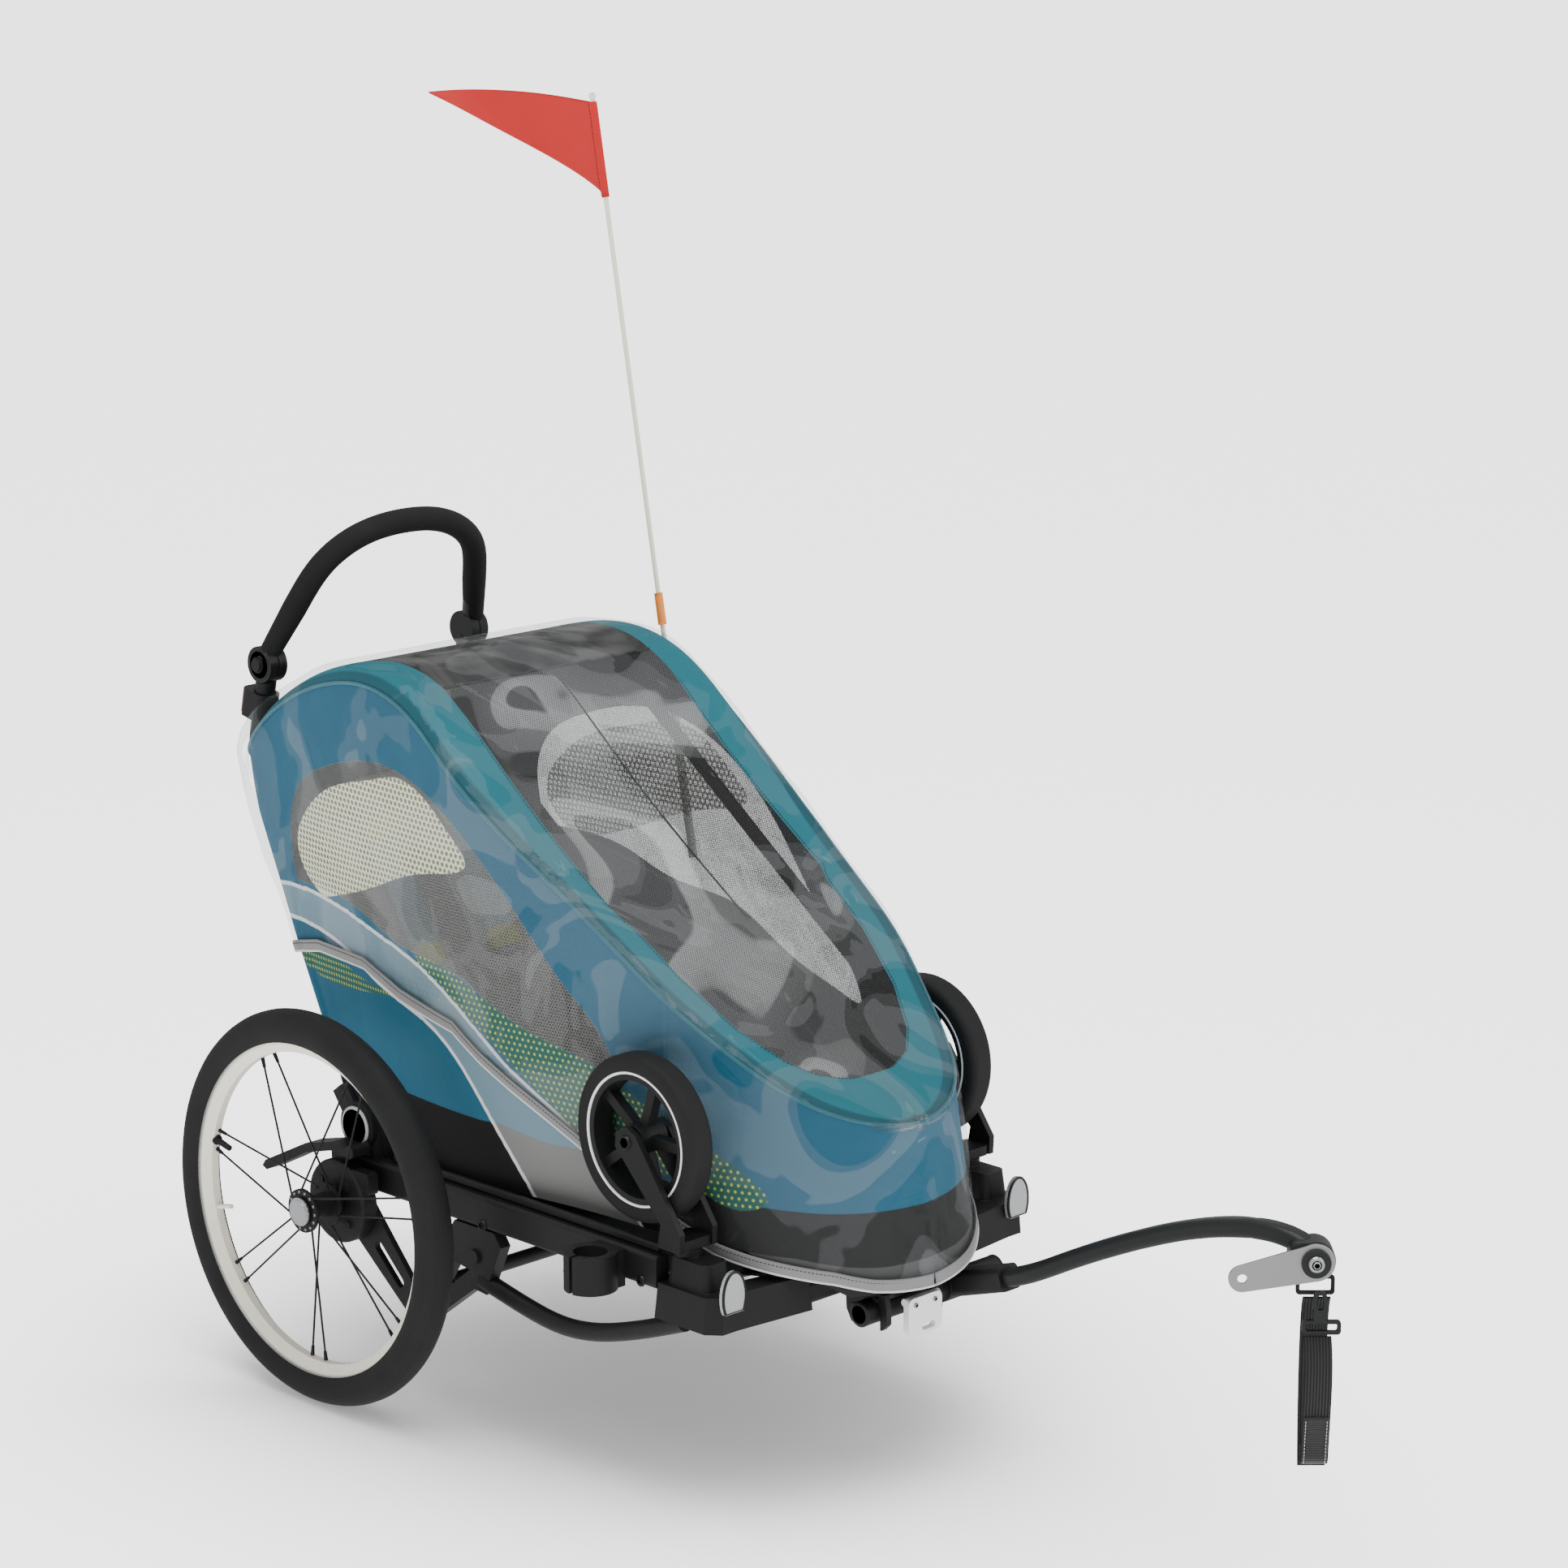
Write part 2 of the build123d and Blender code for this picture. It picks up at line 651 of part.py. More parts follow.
# the seat back leans on the line of the push frame legs
lean = Vector(leg_bend_x - leg_foot_x, 0, leg_bend_z - leg_foot_z).normalized()
back_plane = Plane(origin=(leg_foot_x, 0, leg_foot_z), x_dir=(0, 1, 0), z_dir=(lean.Z, 0, -lean.X))
with BuildPart() as seat_back:
    with BuildSketch(back_plane.offset(13)):
        with Locations((0, 250)):
            RectangleRounded(290, 420, 40)
    extrude(amount=26)
    fillet(seat_back.faces().sort_by(Axis.X)[-1].edges(), 8)
save(seat_back, "seat_back")

with BuildPart() as harness:
    for side, tag in sides:
        with BuildSketch(back_plane.offset(39.3)):
            with Locations((side * 62, 300)):
                RectangleRounded(48, 220, 12)
        extrude(amount=9)
save(harness, "harness_pads")

with BuildPart() as buckle:
    with BuildSketch(Plane.XY.offset(floor_z + 4.4 + 38.2)):
        with Locations((150, 0)):
            RectangleRounded(52, 44, 10)
    extrude(amount=14)
    fillet(buckle.faces().sort_by(Axis.Z)[-1].edges(), 4)
save(buckle, "harness_buckle")

hem = ((720, 246), (668, 262), (645, 273), (530, 300), (420, 347), (312, 401), (249, 433), (203, 458), (160, 487), (61, 505),
       (-48, 529), (-150, 531), (-198, 540))
with BuildPart() as cover_inner:
    cabin_block(-0.8)
    under_roof(-1.0, (740, 200), (-420, 200))

with BuildPart() as rain_cover:
    cabin_block(-2.2)
    under_roof(-2.6, *hem)
    add(cover_inner.part, mode=Mode.SUBTRACT)
    split(bisect_by=Plane(origin=(-238, 0, 780), z_dir=(0.93, 0, -0.2)))
save(rain_cover, "rain_cover")

# ---- towing arm ----------------------------------------------------------------------
with BuildPart() as tow_cradle:
    for plate_y in (-26, 60):
        with BuildSketch(side_plane(plate_y)):
            with BuildLine():
                Polyline((610, 229.5), (672, 229.5), (676, 214), (676, 194), (668, 186), (620, 186), (612, 200),
                         (610, 229.5))
            make_face()
            with Locations((tube_x, tube_z)):
                Circle(tube_r + clear, mode=Mode.SUBTRACT)
            with Locations((tube_x, tube_z - 20)):
                Rectangle(2 * (tube_r + clear), 40, mode=Mode.SUBTRACT)
        extrude(amount=8)
        disc(660, plate_y - 8, 222, -1, 3.5, 3)
        disc(624, plate_y - 8, 206, -1, 3.5, 3)
    with BuildSketch(Plane.XY.offset(223.5)):
        with Locations((641, 13)):
            Rectangle(62, 90)
    extrude(amount=6)
save(tow_cradle, "tow_cradle")

with BuildPart() as release_lever:
    with BuildSketch(Plane(origin=(lever_x, 18, 0), x_dir=(0, 1, 0), z_dir=(1, 0, 0))):
        with Locations((0, 199)):
            RectangleRounded(56, 46, 9)
        with Locations((6, 184)):
            SlotCenterToCenter(14, 8, mode=Mode.SUBTRACT)
    extrude(amount=8)
    disc(lever_x + 1, -10, 217, 1, 5, 56)
save(release_lever, "release_lever")

tow_dir = Vector(cos(radians(tow_tilt)), 0, sin(radians(tow_tilt)))
tow_plane = Plane(origin=(tube_x, tow_y, tube_z), x_dir=(0, 1, 0), z_dir=tow_dir)
with BuildPart() as tow_root:
    disc(tube_x, -50, tube_z, 1, tube_r, 226)
    disc(tube_x, tow_y - 18, tube_z, 1, 19, 36)
    with BuildSketch(tow_plane):
        RectangleRounded(34, 30, 7)
    extrude(amount=98)
save(tow_root, "tow_sleeve")

bolt_dir = Vector(cos(radians(45)), -sin(radians(45)), 0)
plate_dir = Vector(sin(radians(45)), cos(radians(45)), 0)
hitch_at = Vector(hitch_x, hitch_y, hitch_z)
hitch_plane = Plane(origin=hitch_at, x_dir=plate_dir, z_dir=bolt_dir)
with BuildPart() as tow_arm:
    with BuildLine() as arm_line:
        Spline(
            tow_plane.origin + tow_dir * 98.2,
            (830, tow_y, 277),
            (938, tow_y, 330),
            (1030, tow_y, 366),
            (1100, tow_y, 383),
            (1148, tow_y, 385),
            (1176, tow_y + 2, 376),
            tangents=(tow_dir, (0.8, 0.1, -0.6)),
        )
    with BuildSketch(Plane(origin=arm_line.line @ 0, x_dir=(0, 1, 0), z_dir=arm_line.line % 0)):
        RectangleRounded(24, 22, 8)
    sweep(path=arm_line.line)
    with BuildSketch(hitch_plane.offset(-16)):
        Circle(22)
        with Locations((-10, 4)):
            RectangleRounded(36, 34, 10)
    extrude(amount=30)
    with Locations(hitch_plane.offset(14)):
        Cylinder(bolt_r, 9, align=(Align.CENTER, Align.CENTER, Align.MIN))
    with Locations(hitch_plane.offset(19.5)):
        Cylinder(16, 3.5, align=(Align.CENTER, Align.CENTER, Align.MIN))
save(tow_arm, "tow_arm")

with BuildPart() as hitch_plate:
    with BuildSketch(hitch_plane.offset(14.7)):
        Circle(21)
        with Locations((-hole_reach, -hole_drop)):
            Circle(15)
        make_hull()
        Circle(bolt_r + clear, mode=Mode.SUBTRACT)
        with Locations((-hole_reach, -hole_drop)):
            Circle(hitch_hole_r, mode=Mode.SUBTRACT)
    extrude(amount=hitch_plate_t)
save(hitch_plate, "hitch_plate")

# ring under the knuckle that the safety strap and its snap hook hang on
with BuildPart() as strap_ring:
    with BuildSketch(Plane(origin=hitch_at, x_dir=plate_dir, z_dir=bolt_dir).offset(-3)):
        with Locations((2, -31)):
            RectangleRounded(42, 22, 4)
            RectangleRounded(34, 14, 2, mode=Mode.SUBTRACT)
        Circle(22.4, mode=Mode.SUBTRACT)
        with Locations((-10, 4)):
            RectangleRounded(36.8, 34.8, 10, mode=Mode.SUBTRACT)
    extrude(amount=4)
save(strap_ring, "strap_ring")

with BuildPart() as safety_strap:
    # a U of webbing: the rear strand hangs on the ring, the front one ends in the snap hook
    loop_plane = Plane(origin=hitch_at - Vector(0, 0, 47), x_dir=bolt_dir, z_dir=-plate_dir)
    bend_r = 15
    with BuildSketch(loop_plane.offset(-strap_w / 2 - 4)):
        with Locations((4, bend_r - strap_len)):
            Circle(bend_r)
        with Locations((0, -1)):
            Circle(3)
        with Locations((15, -40)):
            Circle(3)
        make_hull()
        with BuildSketch(mode=Mode.SUBTRACT):
            with Locations((4, bend_r - strap_len)):
                Circle(bend_r - strap_t)
            with Locations((0, -1)):
                Circle(3 - strap_t)
            with Locations((15, -40)):
                Circle(3 - strap_t)
            make_hull()
        with BuildLine():
            Polyline((0.6, 6), (0.6, -20), (12.4, -56), (12.4, -35), (4, 6), (0.6, 6))
        make_face(mode=Mode.SUBTRACT)
    extrude(amount=strap_w)
save(safety_strap, "safety_strap")

with BuildPart() as snap_hook:
    with BuildSketch(hitch_plane.offset(12)):
        with Locations((8, -74)):
            RectangleRounded(42, 16, 4)
            RectangleRounded(34, 8, 2, mode=Mode.SUBTRACT)
        with Locations((6, -61)):
            RectangleRounded(14, 12, 3)
        with Locations((6, -46)):
            SlotOverall(26, 15, rotation=90)
            SlotOverall(17, 7, rotation=90, mode=Mode.SUBTRACT)
    extrude(amount=5)
    add(safety_strap.part, mode=Mode.SUBTRACT)
save(snap_hook, "snap_hook")

# ---- safety flag -----------------------------------------------------------------------
pole_low = Vector(pole_low_x, pole_y, pole_low_z)
pole_top = Vector(pole_top_x, pole_y, pole_top_z)
pole_dir = (pole_top - pole_low).normalized()
with BuildPart() as flag_pocket:
    rod(tuple(pole_low - pole_dir * 8), tuple(pole_low + pole_dir * 268), 5.5)
    rod(tuple(pole_low - pole_dir * 1), tuple(pole_low + pole_dir * 270), pole_r + 0.4, Mode.SUBTRACT)
save(flag_pocket, "flag_pocket")

with BuildPart() as flag_pole:
    rod(tuple(pole_low), tuple(pole_top), pole_r)
    rod(tuple(pole_low + pole_dir * 290), tuple(pole_low + pole_dir * 326), 5)
    with Locations(tuple(pole_top)):
        Sphere(pole_r + 1.5)
save(flag_pole, "flag_pole")

with BuildPart() as pennant:
    with BuildSketch(side_plane(pole_y + flag_t / 2)):
        with BuildLine():
            hoist_top = pole_top - pole_dir * 6
            hoist_low = hoist_top - pole_dir * flag_h
            Polyline((hoist_top.X, hoist_top.Z), (hoist_low.X, hoist_low.Z),
                     (hoist_top.X - flag_len, hoist_top.Z - 4), (hoist_top.X, hoist_top.Z))
        make_face()
    extrude(amount=flag_t)
    rod(tuple(hoist_low), tuple(hoist_top), pole_r + 1.6)
    rod(tuple(hoist_low - pole_dir), tuple(hoist_top + pole_dir), pole_r + 0.05, Mode.SUBTRACT)
save(pennant, "pennant")

os.makedirs("parts", exist_ok=True)
for label, piece in pieces.items():
    piece.label = label
    export_step(piece, f"parts/{label}.step")
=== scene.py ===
import bpy
import math
import numpy as np
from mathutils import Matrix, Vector


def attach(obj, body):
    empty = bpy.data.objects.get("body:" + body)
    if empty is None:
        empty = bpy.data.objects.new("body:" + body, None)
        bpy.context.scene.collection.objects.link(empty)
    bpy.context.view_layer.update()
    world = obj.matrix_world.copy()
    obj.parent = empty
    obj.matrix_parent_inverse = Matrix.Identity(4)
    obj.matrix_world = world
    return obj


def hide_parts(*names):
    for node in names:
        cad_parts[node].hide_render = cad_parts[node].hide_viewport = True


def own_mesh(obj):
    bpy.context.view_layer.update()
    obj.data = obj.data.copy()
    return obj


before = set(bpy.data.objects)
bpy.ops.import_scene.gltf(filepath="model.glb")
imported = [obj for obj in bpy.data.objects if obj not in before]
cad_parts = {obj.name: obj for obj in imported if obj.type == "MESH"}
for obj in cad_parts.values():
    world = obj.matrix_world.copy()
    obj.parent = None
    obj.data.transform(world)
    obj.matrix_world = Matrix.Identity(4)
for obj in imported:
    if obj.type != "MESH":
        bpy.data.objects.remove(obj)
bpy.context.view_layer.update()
shift = -398.8  # mm, from the rear axle to the middle of the row frame

# sizes shared by several pieces, in mm from the rear axle, on the ground, at the middle
wheel_r = 244
hub_y = 321
wheel_y = 323
rim_edge_r = 207.6
nipple_r = 191.6
flange_r = 23
spoke_count = 14
caster_x = 484
caster_y = 231
caster_z = 422
caster_ring_r = 77.4
knob_x = -263
knob_y = 177.9
knob_z = 850.5
window_x = 74
tube_sides = 14
ring_points = 180
hitch = np.array([1180.0, 104.0, 368.0])
strap_drop = 187


# ---- mesh helpers: points are mm, x from the rear axle, y from the middle, z from the ground ----
def row(p):
    return np.asarray(p, float) / 1000 + np.array([shift / 1000, 0, 0])


def tail(o, body, soft):
    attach(o, body)
    if soft:
        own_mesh(o)
    return o


def mesh(name, points, faces, mat, body="chassis", soft=False, uv=None, smooth=True, facts=None):
    m = bpy.data.meshes.new(name)
    m.from_pydata([tuple(p) for p in row(points)], [], [tuple(int(i) for i in f) for f in faces])
    o = bpy.data.objects.new(name, m)
    bpy.context.scene.collection.objects.link(o)
    m.polygons.foreach_set("use_smooth", [smooth] * len(m.polygons))
    if uv is not None:
        layer = m.uv_layers.new(name="UVMap")
        loops = np.zeros(len(m.loops), int)
        m.loops.foreach_get("vertex_index", loops)
        layer.data.foreach_set("uv", np.asarray(uv, float)[loops].ravel())
    for key, values in (facts or {}).items():
        m.attributes.new(key, "FLOAT", "POINT").data.foreach_set("value",
                np.asarray(values, np.float32).ravel())
    m.materials.append(mat)
    return tail(o, body, soft)


def quads(n, k, wrap_n=False, wrap_k=False):
    out = []
    for i in range(n if wrap_n else n - 1):
        for j in range(k if wrap_k else k - 1):
            a, b = i * k + j, ((i + 1) % n) * k + j
            c, d = ((i + 1) % n) * k + (j + 1) % k, i * k + (j + 1) % k
            out.append((a, b, c, d))
    return out


def lengths(grid):
    du = np.linalg.norm(np.diff(grid, axis=0), axis=2)
    dv = np.linalg.norm(np.diff(grid, axis=1), axis=2)
    u = np.concatenate([np.zeros((1, grid.shape[1])), np.cumsum(du, 0)], 0)
    v = np.concatenate([np.zeros((grid.shape[0], 1)), np.cumsum(dv, 1)], 1)
    return np.stack([u, v], 2).reshape(-1, 2) / 1000


def sheet_grid(name, grid, mat, body="chassis", soft=False, thick=0.0, uv=None, **more):
    n, k = grid.shape[:2]
    o = mesh(name, grid.reshape(-1, 3), quads(n, k), mat, body, soft,
             uv=lengths(grid) if uv is None else uv, **more)
    if thick:
        s = o.modifiers.new("thick", "SOLIDIFY")
        s.thickness = thick / 1000
        s.offset = 0
    return o


def smooth_line(points, n):
    # a natural cubic through the points, resampled to n points
    p = np.asarray(points, float)
    t = np.concatenate([[0], np.cumsum(np.linalg.norm(np.diff(p, axis=0), axis=1))])
    h = np.diff(t)
    m = len(t)
    a = np.zeros((m, m))
    b = np.zeros((m, p.shape[1]))
    a[0, 0] = a[-1, -1] = 1
    for i in range(1, m - 1):
        a[i, i - 1:i + 2] = h[i - 1], 2 * (h[i - 1] + h[i]), h[i]
        b[i] = 6 * ((p[i + 1] - p[i]) / h[i] - (p[i] - p[i - 1]) / h[i - 1])
    k = np.linalg.solve(a, b)
    at = np.linspace(0, t[-1], n)
    i = np.clip(np.searchsorted(t, at, side="right") - 1, 0, m - 2)
    l, r, d = (at - t[i])[:, None], (t[i + 1] - at)[:, None], h[i][:, None]
    bend = (k[i] * r ** 3 + k[i + 1] * l ** 3) / (6 * d)
    return bend + (p[i] / d - k[i] * d / 6) * r + (p[i + 1] / d - k[i + 1] * d / 6) * l


def frames(line, up=(0, 0, 1)):
    t = np.gradient(line, axis=0)
    t /= np.linalg.norm(t, axis=1)[:, None]
    ref = np.array(up, float)
    a = np.cross(t, ref)
    bad = np.linalg.norm(a, axis=1) < 0.05
    a[bad] = np.cross(t[bad], [1, 0, 0])
    a /= np.linalg.norm(a, axis=1)[:, None]
    return t, a, np.cross(a, t)


def tube(name, line, radius, mat, body="chassis", soft=False, sides=tube_sides, closed=False, up=(0, 0, 1),
         cap=True):
    line = np.asarray(line, float)
    radius = np.broadcast_to(radius, len(line))
    t, a, b = frames(line, up)
    turn = np.linspace(0, 2 * math.pi, sides, endpoint=False)
    ring = line[:, None] + radius[:, None, None] * (np.cos(turn)[None, :, None] * a[:,
            None] + np.sin(turn)[None, :, None] * b[:, None])
    n = len(line)
    faces = quads(n, sides, wrap_n=closed, wrap_k=True)
    if cap and not closed:
        faces += [tuple(range(sides))[::-1], tuple(range((n - 1) * sides, n * sides))]
    g = np.concatenate([[0], np.cumsum(np.linalg.norm(np.diff(line, axis=0), axis=1))])
    uv = np.stack(np.broadcast_arrays(g[:, None], (turn * np.mean(radius))[None]), 2).reshape(-1, 2) / 1000
    return mesh(name, ring.reshape(-1, 3), faces, mat, body, soft, uv=uv)


def parts_mesh(name, shapes, mat, body="chassis", soft=False, smooth=True):
    # several small solids as one piece
    points, faces, at = [], [], 0
    for p, f in shapes:
        points.append(np.asarray(p, float))
        faces += [tuple(i + at for i in q) for q in f]
        at += len(p)
    return mesh(name, np.concatenate(points), faces, mat, body, soft, smooth=smooth)


def cylinder(base, axis, radius, height, sides=24, bevel=0.8, top=None):
    axis = np.asarray(axis, float) / np.linalg.norm(axis)
    side = np.cross(axis, [0, 0, 1] if abs(axis[2]) < 0.9 else [1, 0, 0])
    side /= np.linalg.norm(side)
    other = np.cross(axis, side)
    turn = np.linspace(0, 2 * math.pi, sides, endpoint=False)
    top = radius if top is None else top
    rings = [(radius, 0), (top, height - bevel), (top - bevel, height), (max(top - 3 * bevel, 0.2), height)]
    p = [np.asarray(base, float) + axis * h + r * (math.cos(a) * side + math.sin(a) * other) for r,
         h in rings for a in turn]
    n = len(rings)
    return p, quads(n, sides, wrap_k=True) + [tuple(range((n - 1) * sides, n * sides)),
                                              tuple(range(sides))[::-1]]


def block(centre, x, y, z, size, bevel=1.0):
    # box with chamfered edges, its axes x, y and z
    x, y, z = (np.asarray(v, float) / np.linalg.norm(v) for v in (x, y, z))
    a, b, c = (s / 2 for s in size)
    points = []
    for h, i in ((-c, bevel), (-c + bevel, 0), (c - bevel, 0), (c, bevel)):
        for u, v in ((-a + bevel + i, -b + i), (a - bevel - i, -b + i), (a - i, -b + bevel + i),
                     (a - i, b - bevel - i),
                     (a - bevel - i, b - i), (-a + bevel + i, b - i), (-a + i, b - bevel - i),
                     (-a + i, -b + bevel + i)):
            points.append(np.asarray(centre, float) + x * u + y * v + z * h)
    return points, quads(4, 8, wrap_k=True) + [tuple(range(8))[::-1], tuple(range(24, 32))]


def stitches(name, line, pitch, length, radius, mat, body="chassis", soft=False, lift=None):
    line = np.asarray(line, float)
    g = np.concatenate([[0], np.cumsum(np.linalg.norm(np.diff(line, axis=0), axis=1))])
    shapes = []
    for s in np.arange(pitch / 2, g[-1] - pitch / 2, pitch):
        a = np.array([np.interp(s - length / 2, g, line[:, k]) for k in range(3)])
        b = np.array([np.interp(s + length / 2, g, line[:, k]) for k in range(3)])
        shapes.append(cylinder(a, b - a, radius, np.linalg.norm(b - a), sides=6, bevel=radius * 0.4))
    return parts_mesh(name, shapes, mat, body, soft)


# ---- materials --------------------------------------------------------------------------------
class Mat:
    def __init__(self, name, color=(0.5, 0.5, 0.5), rough=0.5, metal=0.0, **more):
        self.m = bpy.data.materials.new(name)
        self.m.use_nodes = True
        self.nt = self.m.node_tree
        self.b = self.nt.nodes["Principled BSDF"]
        self.out = self.nt.nodes["Material Output"]
        self.set(self.b, "Base Color", (*color, 1))
        self.set(self.b, "Roughness", rough)
        self.set(self.b, "Metallic", metal)
        for key, value in more.items():
            self.set(self.b, key.replace("_", " "), value)

    def set(self, node, key, value):
        socket = node.inputs[key]
        if isinstance(value, bpy.types.NodeSocket):
            self.nt.links.new(value, socket)
        else:
            socket.default_value = value

    def n(self, kind, out=0, props=None, **inputs):
        node = self.nt.nodes.new("ShaderNode" + kind)
        for key, value in (props or {}).items():
            setattr(node, key, value)
        for key, value in inputs.items():
            self.set(node, int(key[1:]) if key[0] == "i" and key[1:].isdigit() else key.replace("_", " "),
                     value)
        return node.outputs[out]

    def math(self, op, a, b=0.0, c=None):
        more = {} if c is None else {"i2": c}
        return self.n("Math", props={"operation": op}, i0=a, i1=b, **more)

    def fact(self, name):
        return self.n("Attribute", out=2, props={"attribute_name": name})

    def step(self, value, soft=0.7):
        return self.n("MapRange", props={"clamp": True}, Value=value, From_Min=-soft, From_Max=soft)

    def band(self, value, half, soft=0.5):
        return self.step(self.math("SUBTRACT", half, self.math("ABSOLUTE", value)), soft)

    def mix(self, f, a, b):
        node = self.nt.nodes.new("ShaderNodeMix")
        node.data_type = "RGBA"
        self.set(node, "Factor", f)
        for i, v in ((6, a), (7, b)):
            if isinstance(v, bpy.types.NodeSocket):
                self.nt.links.new(v, node.inputs[i])
            else:
                node.inputs[i].default_value = (*v, 1)
        return node.outputs[2]

    def mix_value(self, f, a, b):
        return self.n("MapRange", Value=f, To_Min=a, To_Max=b)

    def place(self, kind="Object"):
        return self.n("TexCoord", out={"Generated": 0, "Normal": 1, "UV": 2, "Object": 3}[kind])

    def noise(self, scale, detail=3.0, where=None, rough=0.5, distort=0.0):
        return self.n("TexNoise", Vector=where or self.place(), Scale=scale, Detail=detail, Roughness=rough,
                      Distortion=distort)

    def bump(self, height, strength, distance=0.001, normal=None):
        more = {} if normal is None else {"Normal": normal}
        return self.n("Bump", Strength=strength, Distance=distance, Height=height, **more)

    def ramp(self, value, stops, constant=False):
        node = self.nt.nodes.new("ShaderNodeValToRGB")
        if constant:
            node.color_ramp.interpolation = "CONSTANT"
        while len(node.color_ramp.elements) < len(stops):
            node.color_ramp.elements.new(0.5)
        for e, (at, c) in zip(node.color_ramp.elements, stops):
            e.position = at
            e.color = (*c, 1) if hasattr(c, "__len__") else (c, c, c, 1)
        self.set(node, "Fac", value)
        return node.outputs[0]

    def lattice(self, pitch, where=None, ratio=0.866):
        # distance to the nearest point of a staggered grid, in parts of its pitch
        where = where or self.place("UV")
        xyz = self.nt.nodes.new("ShaderNodeSeparateXYZ")
        self.set(xyz, "Vector", where)
        v = self.math("DIVIDE", xyz.outputs[1], pitch * ratio)
        line = self.math("FLOOR", v)
        half = self.math("MULTIPLY", self.math("MODULO", self.math("ABSOLUTE", line), 2.0), 0.5)
        u = self.math("SUBTRACT", self.math("FRACT", self.math("ADD",
                self.math("DIVIDE", xyz.outputs[0], pitch), half)), 0.5)
        w = self.math("MULTIPLY", self.math("SUBTRACT", self.math("FRACT", v), 0.5), ratio)
        return self.math("SQRT", self.math("ADD", self.math("MULTIPLY", u, u), self.math("MULTIPLY", w, w)))


def plain(name, color, rough, metal=0.0, grain=260, depth=0.25, vary=0.12, edge=0.0, **more):
    s = Mat(name, color, rough, metal, **more)
    patch = s.noise(9, 4)
    dark, light = [tuple(c * k for c in color) for k in (1 - vary, 1 + vary)]
    s.set(s.b, "Base Color", s.mix(patch, dark, light))
    wear = s.noise(35, 3)
    s.set(s.b, "Roughness", s.n("MapRange", Value=wear, To_Min=max(rough - 0.1, 0.02),
                                To_Max=min(rough + 0.1, 1)))
    normal = s.bump(s.noise(grain, 2), depth, 0.0006)
    if edge:
        soft = s.n("Bevel", props={"samples": 4}, Radius=edge)
        normal = s.bump(s.noise(grain, 2), depth, 0.0006, soft)
    s.set(s.b, "Normal", normal)
    return s.m


def cloth(name, color, rough=0.85, pitch=0.0016, depth=0.12, vary=0.12):
    s = Mat(name, color, rough)
    uv = s.place("UV")
    a = s.n("TexWave", props={"wave_type": "BANDS", "bands_direction": "X"}, Vector=uv,
            Scale=0.05 / pitch * 6.28)
    b = s.n("TexWave", props={"wave_type": "BANDS", "bands_direction": "Y"}, Vector=uv,
            Scale=0.05 / pitch * 6.28)
    weave = s.math("MULTIPLY", s.math("ADD", a, b), 0.5)
    patch = s.noise(14, 4)
    dark, light = [tuple(c * k for c in color) for k in (1 - vary, 1 + vary)]
    s.set(s.b, "Base Color", s.mix(s.math("ADD", s.math("MULTIPLY", patch, 0.8),
                                          s.math("MULTIPLY", weave, 0.2)), dark, light))
    folds = s.bump(s.noise(28, 3), 0.25, 0.004)
    s.set(s.b, "Normal", s.bump(weave, depth, 0.0006, folds))
    s.set(s.b, "Sheen Weight", 0.15)
    return s.m


black = plain("black_plastic_fine", (0.006, 0.006, 0.0063), 0.5, grain=420, depth=0.3, edge=0.0016)
coat = plain("black_powder_coat", (0.007, 0.007, 0.0075), 0.42, grain=600, depth=0.2, edge=0.0012)
satin = plain("black_satin", (0.009, 0.009, 0.0095), 0.3, grain=500, depth=0.08, edge=0.001)
arm_grey = plain("arm_grey", (0.016, 0.0175, 0.0175), 0.4, metal=0.2, grain=500, depth=0.12, edge=0.002)
cream = plain("rim_cream_enamel", (0.82, 0.78, 0.66), 0.28, grain=40, depth=0.03, vary=0.03, edge=0.0008)
ring_grey = plain("rim_edge_grey", (0.42, 0.42, 0.41), 0.3, metal=0.6, grain=80, depth=0.03, vary=0.05)
silver = plain("cap_silver", (0.72, 0.73, 0.75), 0.24, metal=0.9, grain=300, depth=0.04, vary=0.04,
               edge=0.0012)
steel = plain("zinc_steel", (0.6, 0.6, 0.6), 0.32, metal=0.9, grain=400, depth=0.06, vary=0.06, edge=0.0006)
white = plain("lever_white", (0.82, 0.82, 0.82), 0.3, grain=60, depth=0.03, vary=0.03, edge=0.002)
red_plastic = plain("red_plastic", (0.42, 0.03, 0.03), 0.4, edge=0.0006)
orange = plain("orange_plastic", (0.83, 0.24, 0.03), 0.42, vary=0.05)
pole_cream = plain("pole_cream", (0.83, 0.78, 0.66), 0.35, grain=200, depth=0.05, vary=0.03)
foam = plain("grip_foam", (0.005, 0.005, 0.0053), 0.85, grain=900, depth=0.6, vary=0.2)
thread_light = plain("thread_light", (0.55, 0.56, 0.56), 0.8)
thread_dark = plain("thread_dark", (0.03, 0.03, 0.03), 0.8)
piping_teal = cloth("piping_teal", (0.006, 0.12, 0.16), 0.6, 0.0012)
hem_grey = cloth("hem_grey", (0.19, 0.19, 0.19), 0.75, 0.002)
pad_yellow = cloth("pad_yellow", (0.82, 0.82, 0.16), 0.85, 0.003, 0.2)
pad_blue = cloth("pad_blue", (0.42, 0.60, 0.72), 0.85, 0.003, 0.2)
seat_cloth = cloth("seat_cloth", (0.5, 0.5, 0.49), 0.9, 0.0022, 0.2)
web_black = cloth("webbing_black", (0.012, 0.012, 0.012), 0.75, 0.003, 1.0)
white_ring = plain("ring_white", (0.8, 0.8, 0.8), 0.35, vary=0.02)


